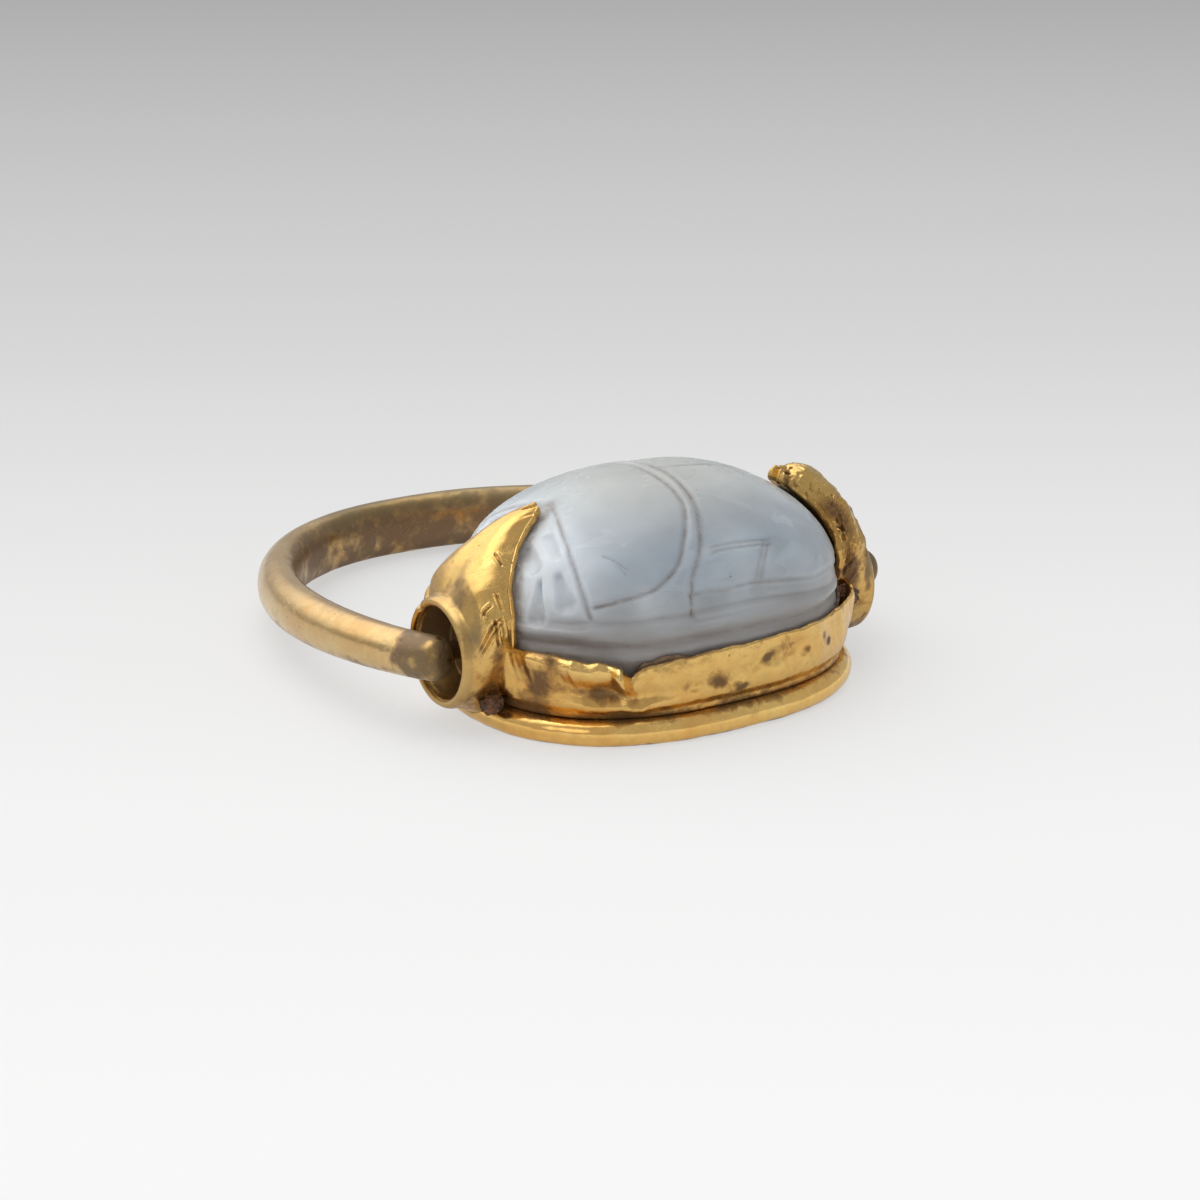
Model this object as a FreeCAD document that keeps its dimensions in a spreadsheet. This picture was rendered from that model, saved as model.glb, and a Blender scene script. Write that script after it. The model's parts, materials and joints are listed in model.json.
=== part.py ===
import FreeCAD, Part
import math
import os

# Swivel ring with a beetle-backed scaraboid stone in a gold setting.
# X is the swivel axis (the head end at -X), +Y points to the crown of the hoop,
# +Z is up, and the origin is on the floor at the middle of the stone's flat face.

doc = FreeCAD.newDocument("scaraboid_ring")
sheet = doc.addObject("Spreadsheet::Sheet", "Sizes")

SIZES = [
    # Swivel axis and bell mouths
    ("bell_length", 1.78, "from the end of the stone to the bell mouth, along the swivel axis"),
    ("swivel_height", 2.94, "height of the swivel axis over the floor"),
    ("mouth_radius", 1.87, "inner radius of a bell at its lip"),
    ("throat_radius", 1.40, "inner radius of a bell at its bottom"),
    ("lip_thickness", 0.28, "gold at the lip of a bell"),
    ("lip_bevel", 0.12, "bevel inside the lip"),
    # Stone
    ("stone_half_length", 7.42, "stone at its girdle, along the axis"),
    ("stone_half_width", 5.83, "stone at its girdle, across"),
    ("stone_height", 8.74, "top of the back over the floor"),
    ("girdle_height", 4.20, "height of the widest outline"),
    ("base_inset", 1.05, "how far the flat face stands inside the girdle"),
    ("shoulder_height", 1.10, "height of the bend above the flat face"),
    ("shoulder_inset", 0.72, "inset of the stone at that bend"),
    ("plinth_drop", 1.00, "from the girdle down to the edge of the metal wall"),
    ("plinth_inset", 0.06, "inset of the stone at that edge"),
    ("groove_radius", 0.15, "radius of the carved lines"),
    ("wing_edge_rise", 1.10, "from the girdle up to the edge of the wing cases"),
    ("leg_groove_drop", 0.35, "from the girdle down to the groove between the legs and the plinth"),
    ("leg_groove_half", 0.32, "half of that groove's height"),
    ("leg_groove_depth", 0.15, "depth of that groove"),
    ("pronotum_place", -0.25, "place of the line behind the pronotum, along the axis"),
    ("pronotum_band", 0.75, "distance to its second line"),
    ("head_length", 2.27, "from the head end of the stone to the line behind the head"),
    # Pivot
    ("wire_radius", 0.38, "radius of the pivot wire"),
    ("running_clearance", 0.07, "round the wire in the bore of the stone"),
    ("cap_hole_clearance", 0.20, "round the wire in the sheet of a cap"),
    ("wire_reach", 0.67, "how far the holes for the wire reach past the bell mouths"),
    ("grip_clearance", 0.01, "round the wire in the hoop"),
    # Hoop
    ("hoop_bulge", 1.24, "from a bell mouth out to the widest place of the centre line"),
    ("hoop_depth", 14.10, "centre line, from its widest place to the crown"),
    ("hoop_widest", 5.28, "distance of the widest place from the swivel axis"),
    ("hoop_end_overrun", 0.35, "how far the centre line runs past the axis"),
    ("hoop_end_radius", 0.84, "radius of the bar at its ends"),
    ("crown_half_height", 1.20, "half height of the bar at the crown"),
    ("crown_half_thickness", 0.98, "half thickness of the bar at the crown"),
    ("end_round", 0.42, "rounding of the blunt ends"),
    ("floor_gap", 0.02, "between the crown and the floor at rest"),
    # Rim and wall of the bezel
    ("rim_reach_along", 0.58, "how far the rim stands out past the stone, along the axis"),
    ("rim_reach_across", 0.59, "how far the rim stands out past the stone, across"),
    ("rim_radius", 0.53, "radius of the rim's wire"),
    ("rim_wear", 0.05, "flat worn under the rim"),
    ("rim_shift_along", 0.20, "how far the rim lies towards the tail"),
    ("rim_shift_across", 0.10, "how far the rim lies towards the hoop"),
    ("rim_turn", 3.5, "degrees by which the rim is turned on the stone"),
    ("wall_thickness", 0.24, "sheet of the wall"),
    ("wall_gap", 0.15, "between the wall and the stone, filled with bedding"),
    ("seat_gap", 0.02, "between pieces that are soldered together"),
    ("tear_place", -4.35, "place of the tear in the front wall, along the axis"),
    ("tear_width", 0.75, "width of the tear at the edge"),
    ("tear_depth", 0.80, "depth of the tear"),
    # End caps
    ("cap_clearance", 0.06, "between a cap and the stone"),
    ("cap_sheet", 0.27, "gold between the bell and the stone"),
    ("leaf_half_width", 2.30, "widest half width of a cap's leaf"),
    ("leaf_foot", 0.60, "height of the foot of a leaf"),
    ("head_tip_drop", 0.76, "from the top of the stone down to the head cap's tip"),
    ("head_leaf_reach", 2.72, "how far the head cap's tip reaches in over the stone"),
    ("tail_tip_drop", 1.22, "from the top of the stone down to the tail cap's tip"),
    ("tail_leaf_reach", 1.52, "how far the tail cap's tip reaches in over the stone"),
    ("tip_split", 0.16, "half width of the split in a tip"),
    ("tip_split_length", 0.90, "length of the split in a tip"),
    # Solder
    ("solder_radius", 0.58, "size of the solder lumps"),
    ("head_solder_along", -0.12, "place of the head lumps, from the end of the stone"),
    ("head_solder_across", -0.38, "place of the head lumps, from the side of the leaf"),
    ("head_solder_rise", 0.27, "height of the head lumps over the rim"),
    ("tail_solder_along", 0.06, "place of the tail lumps, from the end of the stone"),
    ("tail_solder_across", 0.10, "place of the tail lumps, from the side of the leaf"),
    ("tail_solder_drop", 0.22, "from the edge of the wall down to the tail lumps"),
    ("bedding_foot", 0.20, "height of the bedding's underside"),
    ("overrun", 0.60, "how far a cutter runs past what it cuts"),
]

for row, (alias, value, meaning) in enumerate(SIZES, start=1):
    sheet.set("A%d" % row, meaning)
    sheet.set("B%d" % row, str(value))
    sheet.setAlias("B%d" % row, alias)
doc.recompute()

# Powers of the rounded outlines, and shares of the sizes above
STONE_POWER = 2.4
RIM_POWER = 2.4
HOOP_POWER = 2.1
OUTLINE_POINTS = 24
DOME_ANGLES = (16, 32, 47, 61, 73, 82, 87)
LEAF_SHARES = ((0.42, 0.0), (0.52, 0.07), (0.82, 0.26), (1.0, 0.43), (0.98, 0.55),
               (0.83, 0.68), (0.57, 0.78), (0.32, 0.87), (0.18, 0.96))
BELL_SHARES = ((0.0, 0.0), (0.3, 0.12), (0.6, 0.42), (0.85, 0.8), (1.0, 1.0))
RIDGE_SHARES = ((0.0, 0.0), (0.2, 0.36), (0.45, 0.68), (0.72, 0.9), (1.0, 1.0))
SUTURE_END_SHARE = 0.97
BAR_SECTIONS = 22
BAR_POINTS = 12
TANGENT_SHARE = 0.125

# Degrees either side of the middle that a carved line spans, the number of its
# steps, and the steps of the rounding at the hoop's ends
CROSS_SPAN, CROSS_STEPS = 84, 12
WING_SPAN, WING_STEPS = 88, 16
SUTURE_STEPS = 8
END_ANGLES = (45, 75)


def size(alias):
    return float(sheet.get(alias))


def vec(x, y, z):
    return FreeCAD.Vector(x, y, z)


def mouth_place():
    return size("stone_half_length") + size("bell_length")


def wall_foot():
    return 2 * size("rim_radius") - size("rim_wear") + size("seat_gap")


def wall_top():
    return size("girdle_height") - size("plinth_drop")


def rim_half_length():
    return size("stone_half_length") + size("rim_reach_along")


def rim_half_width():
    return size("stone_half_width") + size("rim_reach_across")


def largest_solid(shape):
    return max(shape.Solids, key=lambda solid: solid.Volume)


def signed_power(value, power):
    return math.copysign(abs(value) ** power, value)


def closed_wire(points):
    curve = Part.BSplineCurve()
    curve.interpolate(Points=points, PeriodicFlag=True)
    return Part.Wire([curve.toShape()])


def open_edge(points):
    curve = Part.BSplineCurve()
    curve.interpolate(Points=points)
    return curve.toShape()


def oval_points(half_length, half_width, height, power, count=OUTLINE_POINTS):
    points = []
    for index in range(count):
        angle = 2 * math.pi * index / count
        points.append(vec(half_length * signed_power(math.cos(angle), 2 / power),
                          half_width * signed_power(math.sin(angle), 2 / power), height))
    return points


def rim_place():
    turn = FreeCAD.Rotation(vec(0, 0, 1), size("rim_turn"))
    return FreeCAD.Placement(vec(size("rim_shift_along"), size("rim_shift_across"), 0), turn)


def named_feature(label, shape):
    feature = doc.addObject("Part::Feature", label)
    feature.Label = label
    feature.Shape = shape
    feature.Placement = FreeCAD.Placement()


def bound_cylinder(name, radius, height, start_x, height_z="Sizes.swivel_height"):
    cylinder = doc.addObject("Part::Cylinder", name)
    cylinder.setExpression("Radius", radius)
    cylinder.setExpression("Height", height)
    cylinder.Placement = FreeCAD.Placement(vec(0, 0, 0), FreeCAD.Rotation(vec(0, 1, 0), 90))
    cylinder.setExpression(".Placement.Base.x", start_x)
    cylinder.setExpression(".Placement.Base.z", height_z)
    return cylinder


def cut_of(name, base, tool):
    cut = doc.addObject("Part::Cut", name)
    cut.Base = base
    cut.Tool = tool


# Stone

def dome_height(x, y, grow=0.0):
    # Height of the back over a place inside the girdle.
    across = (abs(x) / (size("stone_half_length") + grow)) ** STONE_POWER
    across += (abs(y) / (size("stone_half_width") + grow)) ** STONE_POWER
    reach = min(across ** (1 / STONE_POWER), 1.0)
    rise = size("stone_height") + grow - size("girdle_height")
    return size("girdle_height") + rise * math.sqrt(1 - reach ** 2)


def stone_blank(grow=0.0):
    # The stone without its bore and carving, a little larger where a cutter needs it.
    length = size("stone_half_length") + grow
    width = size("stone_half_width") + grow
    levels = [(-grow, size("base_inset")), (size("shoulder_height"), size("shoulder_inset")),
              (wall_top(), size("plinth_inset")), (size("girdle_height"), 0.0)]
    sections = [oval_points(length - inset, width - inset, height, STONE_POWER)
                for height, inset in levels]
    rise = size("stone_height") + grow - size("girdle_height")
    for angle in DOME_ANGLES:
        share = math.cos(math.radians(angle))
        height = size("girdle_height") + rise * math.sin(math.radians(angle))
        sections.append(oval_points(length * share, width * share, height, STONE_POWER))
    return Part.makeLoft([closed_wire(points) for points in sections], True, False)


def pipe_along(points, radius):
    # A round cutter along a line on the surface of the stone.
    path = Part.Wire([open_edge(points)])
    start = points[0]
    direction = points[1].sub(points[0])
    circle = Part.Wire([Part.Circle(start, direction, radius).toShape()])
    return path.makePipeShell([circle], True, True)


def cross_groove(place):
    # A carved line over the back from side to side, at a place along the axis.
    reach = (1 - (abs(place) / size("stone_half_length")) ** STONE_POWER) ** (1 / STONE_POWER)
    width = size("stone_half_width") * reach
    points = []
    for index in range(CROSS_STEPS + 1):
        angle = math.radians(CROSS_SPAN * (2 * index / CROSS_STEPS - 1))
        y = width * math.sin(angle)
        points.append(vec(place, y, dome_height(place, y)))
    return pipe_along(points, size("groove_radius"))


def suture_groove():
    # The line between the wing cases, from the pronotum to the tail.
    start = size("pronotum_place")
    end = size("stone_half_length") * SUTURE_END_SHARE
    points = []
    for index in range(SUTURE_STEPS + 1):
        x = start + (end - start) * math.sin(math.pi / 2 * index / SUTURE_STEPS)
        points.append(vec(x, 0, dome_height(x, 0)))
    return pipe_along(points, size("groove_radius"))


def wing_edge_groove():
    # The lower edge of the wing cases, from the pronotum round the tail and back.
    lift = size("wing_edge_rise") / (size("stone_height") - size("girdle_height"))
    share = math.sqrt(1 - lift ** 2)
    length = size("stone_half_length") * share
    width = size("stone_half_width") * share
    height = size("girdle_height") + size("wing_edge_rise")
    points = []
    for index in range(WING_STEPS + 1):
        angle = math.radians(WING_SPAN * (2 * index / WING_STEPS - 1))
        points.append(vec(length * signed_power(math.cos(angle), 2 / STONE_POWER),
                          width * signed_power(math.sin(angle), 2 / STONE_POWER), height))
    return pipe_along(points, size("groove_radius"))


def closed_ring(curve, radius):
    # A round wire along a closed line.
    first, last = curve.FirstParameter, curve.LastParameter
    circles = []
    for index in range(OUTLINE_POINTS):
        place = first + (last - first) * index / OUTLINE_POINTS
        circle = Part.Circle(curve.value(place), curve.tangent(place)[0], radius)
        circles.append(Part.Wire([circle.toShape()]))
    return Part.makeLoft(circles, True, False, True)


def leg_groove():
    # The groove all round, between the beetle's legs and the plinth.
    middle = size("girdle_height") - size("leg_groove_drop")
    half = size("leg_groove_half")
    levels = ((middle - half, 0.0), (middle, size("leg_groove_depth")), (middle + half, 0.0))
    core = [oval_points(size("stone_half_length") - inset, size("stone_half_width") - inset,
                        height, STONE_POWER) for height, inset in levels]
    outside = oval_points(size("stone_half_length") + size("overrun"),
                          size("stone_half_width") + size("overrun"), middle - half, STONE_POWER)
    band = Part.Face(closed_wire(outside)).extrude(vec(0, 0, 2 * half))
    return band.cut(Part.makeLoft([closed_wire(points) for points in core], True, True))


def make_stone():
    grooves = [cross_groove(size("pronotum_place")),
               cross_groove(size("pronotum_place") - size("pronotum_band")),
               cross_groove(size("head_length") - size("stone_half_length")),
               suture_groove(), wing_edge_groove(), leg_groove()]
    carved = stone_blank()
    for groove in grooves:
        carved = carved.cut(groove)
    blank = doc.addObject("Part::Feature", "stone_carved")
    blank.Shape = carved
    bore = bound_cylinder("stone_bore", "Sizes.wire_radius + Sizes.running_clearance",
                          "2 * (Sizes.stone_half_length + Sizes.overrun)",
                          "-(Sizes.stone_half_length + Sizes.overrun)")
    cut_of("scarab_stone", blank, bore)


# Hoop and pivot

WIRE_HOLE_END = "(Sizes.stone_half_length + Sizes.bell_length + Sizes.wire_reach)"


def hoop_reach():
    return size("hoop_widest") + size("hoop_depth")


def rest_angle():
    # The angle at which the crown of the hoop lies on the floor, under level.
    drop = size("crown_half_height") + size("floor_gap") - size("swivel_height")
    return math.degrees(math.asin(drop / hoop_reach()))


def hoop_centre(share):
    # A place on the centre line: 0 at the head end, 1 at the tail end.
    depth = size("hoop_depth")
    low = (size("hoop_end_overrun") + size("hoop_widest")) / depth
    start = -math.asin(low ** (HOOP_POWER / 2))
    angle = math.pi - start + (2 * start - math.pi) * share
    x = (mouth_place() + size("hoop_bulge")) * signed_power(math.cos(angle), 2 / HOOP_POWER)
    y = size("hoop_widest") + depth * signed_power(math.sin(angle), 2 / HOOP_POWER)
    return vec(x, y, 0)


def bar_outline(centre, direction, half_thickness, half_height):
    side = vec(direction.y, -direction.x, 0)
    side.normalize()
    points = []
    for index in range(BAR_POINTS):
        angle = 2 * math.pi * index / BAR_POINTS
        points.append(centre + side * (half_thickness * math.cos(angle))
                      + vec(0, 0, half_height * math.sin(angle)))
    return closed_wire(points)


def hoop_bar():
    step = 1 / BAR_SECTIONS
    sections = []
    for index in range(BAR_SECTIONS + 1):
        share = index * step
        centre = hoop_centre(share)
        ahead = hoop_centre(min(share + step * TANGENT_SHARE, 1.0))
        behind = hoop_centre(max(share - step * TANGENT_SHARE, 0.0))
        direction = ahead.sub(behind)
        swell = math.sin(math.pi * share)
        thickness = size("hoop_end_radius")
        thickness += (size("crown_half_thickness") - size("hoop_end_radius")) * swell
        height = size("hoop_end_radius")
        height += (size("crown_half_height") - size("hoop_end_radius")) * swell
        sections.append((centre, direction, thickness, height))
    rounded = []
    for first, outward in ((sections[0], -1), (sections[-1], 1)):
        centre, direction, thickness, height = first
        direction = vec(*direction).normalize()
        pair = []
        for angle in END_ANGLES:
            reach = size("end_round") * math.sin(math.radians(angle))
            inset = size("end_round") * (1 - math.cos(math.radians(angle)))
            pair.append((centre + direction * (outward * reach), direction,
                         thickness - inset, height - inset))
        rounded.append(pair)
    ordered = rounded[0][::-1] + sections + rounded[1]
    return Part.makeLoft([bar_outline(*entry) for entry in ordered], True, False)


def make_hoop():
    bar = doc.addObject("Part::Feature", "hoop_bar")
    shape = hoop_bar()
    shape.rotate(vec(0, 0, 0), vec(1, 0, 0), rest_angle())
    shape.translate(vec(0, 0, size("swivel_height")))
    bar.Shape = shape
    hole = bound_cylinder("hoop_holes", "Sizes.wire_radius + Sizes.grip_clearance",
                          "2 * " + WIRE_HOLE_END, "-" + WIRE_HOLE_END)
    cut_of("hoop", bar, hole)


def make_pivot_wire():
    half = "(" + WIRE_HOLE_END + " - Sizes.seat_gap)"
    bound_cylinder("pivot_wire", "Sizes.wire_radius", "2 * " + half, "-" + half)


# Bezel

def rim_centre_points(height, inset):
    points = oval_points(rim_half_length() - inset, rim_half_width() - inset, height, RIM_POWER)
    return [rim_place().multVec(point) for point in points]


def rim_shape(grow=0.0):
    # A round wire bent to a closed oval, worn flat underneath.
    curve = closed_wire(rim_centre_points(size("rim_radius") - size("rim_wear"),
                                          size("rim_radius"))).Edges[0].Curve
    ring = closed_ring(curve, size("rim_radius") + grow)
    span = 2 * (rim_half_length() + size("overrun"))
    floor = Part.makeBox(span, span, size("rim_radius"), vec(-span / 2, -span / 2, -size("rim_radius")))
    return ring.cut(floor)


def wall_ring(outside, inward=0.0):
    # A closed body up to the outer or the inner face of the wall.
    thickness = 0.0 if outside else size("wall_thickness")
    lower = rim_centre_points(wall_foot(), size("rim_radius") + thickness + inward)
    reach = size("wall_gap") - size("plinth_inset") + size("wall_thickness") - thickness - inward
    upper = oval_points(size("stone_half_length") + reach, size("stone_half_width") + reach,
                        wall_top(), STONE_POWER)
    return Part.makeLoft([closed_wire(lower), closed_wire(upper)], True, True)


def half_space(sign):
    span = 2 * (rim_half_length() + size("overrun"))
    corner = vec(-span / 2, 0 if sign > 0 else -span, -size("overrun"))
    return Part.makeBox(span, span, span, corner)


def tear_cutter():
    x = size("tear_place")
    top = wall_top()
    half = size("tear_width") / 2
    over = size("overrun")
    points = [vec(x - half, 0, top + over), vec(x - half, 0, top), vec(x, 0, top - size("tear_depth")),
              vec(x + half, 0, top), vec(x + half, 0, top + over)]
    face = Part.Face(Part.makePolygon(points + points[:1]))
    return face.extrude(vec(0, -rim_half_width() - over, 0))


def bedding_body():
    # The filling between the stone and the metal round it.
    inset = 2 * size("rim_radius") + size("seat_gap")
    low = closed_wire(rim_centre_points(size("bedding_foot"), inset))
    lower = Part.Face(low).extrude(vec(0, 0, wall_foot() - size("bedding_foot")))
    span = 2 * (rim_half_length() + size("overrun"))
    above = Part.makeBox(span, span, span, vec(-span / 2, -span / 2, wall_top() - size("wall_gap")))
    upper = wall_ring(False, size("seat_gap")).cut(above)
    blank = stone_blank(size("seat_gap"))
    return upper.cut(blank).fuse(lower.cut(blank))


def make_walls(caps):
    ring = wall_ring(True).cut(wall_ring(False))
    bed = bedding_body()
    for cap in caps:
        ring = ring.cut(cap)
        bed = bed.cut(cap)
    strips = []
    for name, sign in (("front", -1), ("back", 1)):
        strip = ring.common(half_space(sign))
        if sign < 0:
            strip = strip.cut(tear_cutter())
        filling = bed.common(half_space(sign))
        named_feature("bezel_wall_" + name, strip)
        named_feature("bedding_" + name, filling)
        strips += [strip, filling]
    return strips


# End caps

def leaf_outline(tip, grow):
    # The leaf seen along the axis, the right side first and from the foot up.
    foot = size("leaf_foot")
    side = [(width * size("leaf_half_width") + grow, foot + height * (tip - foot))
            for width, height in LEAF_SHARES]
    return side + [(0.0, tip + grow)] + [(-y, z) for y, z in reversed(side)]


def cap_section(outline, share, x, grow):
    # Between the round of the bell mouth at share 0 and the leaf at share 1.
    axis = size("swivel_height")
    radius = size("mouth_radius") + size("lip_thickness") + grow
    points = []
    for y, z in outline:
        angle = math.atan2(z - axis, y)
        round_y = radius * math.cos(angle)
        round_z = axis + radius * math.sin(angle)
        points.append(vec(x, round_y + (y - round_y) * share, round_z + (z - round_z) * share))
    return points


def cap_blank(end, tip_height, tip_place, grow=0.0):
    # The outside of a cap as a full body: a bell that spreads into the leaf.
    mouth = mouth_place()
    leaf_plane = size("stone_half_length")
    outline = leaf_outline(tip_height, grow)
    wires = []
    for along, share in BELL_SHARES:
        x = end * (mouth + (leaf_plane - mouth) * along)
        wires.append(closed_wire(cap_section(outline, share, x, grow)))
    bell = Part.makeLoft(wires, True, False)
    leaf_start = closed_wire(cap_section(outline, 1.0, end * leaf_plane, grow))
    leaf = Part.Face(leaf_start).extrude(vec(end * (tip_place - leaf_plane), 0, 0))
    body = bell.fuse(leaf)
    return body.common(ridge_limit(end, tip_height, tip_place, grow))


def ridge_limit(end, tip_height, tip_place, grow):
    # What lies under the ridge that runs from the lip of the bell up to the tip.
    mouth = mouth_place()
    lip = size("swivel_height") + size("mouth_radius") + size("lip_thickness")
    ridge = [vec(end * (mouth + (tip_place - mouth) * along), 0, lip + grow + (tip_height - lip) * rise)
             for along, rise in RIDGE_SHARES]
    below = -size("overrun")
    corners = [ridge[-1], vec(ridge[-1].x, 0, below), vec(ridge[0].x, 0, below), ridge[0]]
    edges = [open_edge(ridge)]
    edges += [Part.makeLine(first, second) for first, second in zip(corners, corners[1:])]
    face = Part.Face(Part.Wire(edges))
    width = size("leaf_half_width") + size("overrun")
    face.translate(vec(0, -width, 0))
    return face.extrude(vec(0, 2 * width, 0))


def bell_hollow(end):
    mouth = mouth_place()
    depth = mouth - size("stone_half_length") - size("cap_clearance") - size("cap_sheet")
    over = size("overrun")
    axis = vec(-end, 0, 0)
    start = vec(end * mouth, 0, size("swivel_height"))
    hollow = Part.makeCone(size("mouth_radius"), size("throat_radius"), depth, start, axis)
    bevel = Part.makeCone(size("mouth_radius") + size("lip_bevel"), size("mouth_radius"),
                          size("lip_bevel"), start, axis)
    hole = Part.makeCylinder(size("wire_radius") + size("cap_hole_clearance"), depth + over, start, axis)
    return hollow.fuse(bevel).fuse(hole)


def tip_cutter(end, tip_height, tip_place):
    length = size("tip_split_length")
    half = size("tip_split")
    over = size("overrun")
    inner = end * (tip_place - over)
    root = end * (tip_place + length)
    points = [vec(inner, -half, 0), vec(inner, half, 0), vec(root, 0, 0)]
    face = Part.Face(Part.makePolygon(points + points[:1]))
    face.translate(vec(0, 0, size("girdle_height")))
    return face.extrude(vec(0, 0, tip_height))


def cap_shape(end, tip_height, tip_place):
    shape = cap_blank(end, tip_height, tip_place)
    shape = shape.cut(stone_blank(size("cap_clearance")))
    shape = shape.cut(bell_hollow(end))
    shape = shape.cut(rim_shape(size("seat_gap")))
    return shape.cut(tip_cutter(end, tip_height, tip_place))


# Solder

def solder_lump(label, centre, others):
    # A drop that has run into the corner between the pieces round it.
    shape = Part.makeSphere(size("solder_radius"), centre)
    for other in others:
        shape = shape.cut(other)
    named_feature(label, largest_solid(shape))


def make_solder(others):
    # One lump on each side of the foot of each cap.
    rim_top = 2 * size("rim_radius") - size("rim_wear")
    ends = (("head", -1, rim_top + size("head_solder_rise")),
            ("tail", 1, wall_top() - size("tail_solder_drop")))
    for end, end_sign, height in ends:
        along = size("stone_half_length") + size(end + "_solder_along")
        across = size("leaf_half_width") + size(end + "_solder_across")
        for side, side_sign in (("front", -1), ("back", 1)):
            centre = vec(end_sign * along, side_sign * across, height)
            solder_lump("%s_solder_%s" % (end, side), centre, others)


def build():
    make_stone()
    make_hoop()
    make_pivot_wire()
    named_feature("base_rim", rim_shape())
    cutters = []
    for end, sign in (("head", -1), ("tail", 1)):
        tip_height = size("stone_height") - size(end + "_tip_drop")
        tip_place = size("stone_half_length") - size(end + "_leaf_reach")
        cap = cap_shape(sign, tip_height, tip_place)
        named_feature(end + "_end_cap", largest_solid(cap))
        cutters.append(cap_blank(sign, tip_height, tip_place, size("seat_gap")))
    strips = make_walls(cutters)
    gap = size("seat_gap")
    make_solder([rim_shape(gap), stone_blank(gap)] + cutters + strips)
    doc.recompute()


build()

NODES = ("scarab_stone", "hoop", "pivot_wire", "base_rim", "bezel_wall_front", "bezel_wall_back",
         "bedding_front", "bedding_back", "head_end_cap", "tail_end_cap", "head_solder_front",
         "head_solder_back", "tail_solder_front", "tail_solder_back")

os.makedirs("parts", exist_ok=True)
for item in doc.Objects:
    if "Invalid" in item.State or "Error" in item.State:
        raise RuntimeError("%s failed: %s" % (item.Label, item.State))
for label in NODES:
    node = doc.getObjectsByLabel(label)[0]
    if node.Shape.isNull() or not node.Shape.isValid():
        raise RuntimeError("%s has a bad shape" % label)
    print(label, "solids", len(node.Shape.Solids), "volume", round(node.Shape.Volume, 2))
for label in NODES:
    doc.getObjectsByLabel(label)[0].Shape.exportStep("parts/%s.step" % label)
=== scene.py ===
import itertools
import json
import math
from typing import NamedTuple

import bpy
import numpy as np
from bpy.props import FloatProperty, FloatVectorProperty, PointerProperty
from mathutils import Matrix, Vector


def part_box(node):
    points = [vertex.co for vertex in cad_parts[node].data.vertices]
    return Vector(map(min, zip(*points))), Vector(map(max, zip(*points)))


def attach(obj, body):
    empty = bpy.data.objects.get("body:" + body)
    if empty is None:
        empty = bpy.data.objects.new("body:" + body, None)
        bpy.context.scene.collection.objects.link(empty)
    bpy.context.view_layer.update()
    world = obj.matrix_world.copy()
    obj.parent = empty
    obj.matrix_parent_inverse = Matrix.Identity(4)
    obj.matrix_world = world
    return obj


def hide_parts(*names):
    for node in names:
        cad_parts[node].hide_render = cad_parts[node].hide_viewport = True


# Finished pieces of a gold swivel ring with a beetle-backed chalcedony stone.
# Shapes are worked out in millimetres and written to the meshes in metres.

bl_info = {
    "name": "Scaraboid swivel ring",
    "version": (1, 0, 0),
    "blender": (4, 5, 0),
    "location": "3D View > Sidebar > Ring",
    "description": "Builds the carved stone, the gold setting and the hoop of a swivel ring",
    "category": "Object",
}

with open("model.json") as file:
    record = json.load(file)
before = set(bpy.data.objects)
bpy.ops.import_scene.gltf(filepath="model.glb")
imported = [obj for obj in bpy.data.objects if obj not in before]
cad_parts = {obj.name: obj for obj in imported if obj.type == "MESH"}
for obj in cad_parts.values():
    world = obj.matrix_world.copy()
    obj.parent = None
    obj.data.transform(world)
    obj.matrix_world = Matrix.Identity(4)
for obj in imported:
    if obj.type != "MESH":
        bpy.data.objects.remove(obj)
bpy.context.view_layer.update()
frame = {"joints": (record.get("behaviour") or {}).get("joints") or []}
MM = 0.001


def node_box(node):
    low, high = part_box(node)
    return np.array(low) / MM, np.array(high) / MM


STONE_BOX = node_box("scarab_stone")
RIM_BOX = node_box("base_rim")
WIRE_BOX = node_box("pivot_wire")
HEAD_CAP_BOX = node_box("head_end_cap")
TAIL_CAP_BOX = node_box("tail_end_cap")
AXIS_HEIGHT = float(frame["joints"][0]["pos_m"][2]) / MM


# Settings


def length(name, description, default, **limits):
    return FloatProperty(name=name, description=description, default=default * MM, precision=5,
                         unit="LENGTH", subtype="DISTANCE", **limits)


def colour(name, description, default):
    return FloatVectorProperty(name=name, description=description, default=default, size=3,
                               subtype="COLOR", min=0.0, max=1.0)


def share(name, description, default):
    return FloatProperty(name=name, description=description, default=default, min=0.0, max=1.0,
                         subtype="FACTOR")


class StoneSettings(bpy.types.PropertyGroup):
    half_length: length("Half length", "Stone at its girdle, along the axis", STONE_BOX[1][0])
    half_width: length("Half width", "Stone at its girdle, across", STONE_BOX[1][1])
    top: length("Height", "Top of the back over the sealing face", STONE_BOX[1][2])
    girdle: length("Girdle height", "Height of the widest outline", 4.2)
    groove: length("Groove depth", "Depth of the carved lines", 0.12)
    pale: colour("Pale cloud", "Milky clouds in the stone", (0.52, 0.585, 0.635))
    body: colour("Body colour", "Blue-grey of the stone", (0.315, 0.358, 0.410))
    foot: colour("Foot colour", "Brownish bands round the foot", (0.22, 0.185, 0.17))


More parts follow.
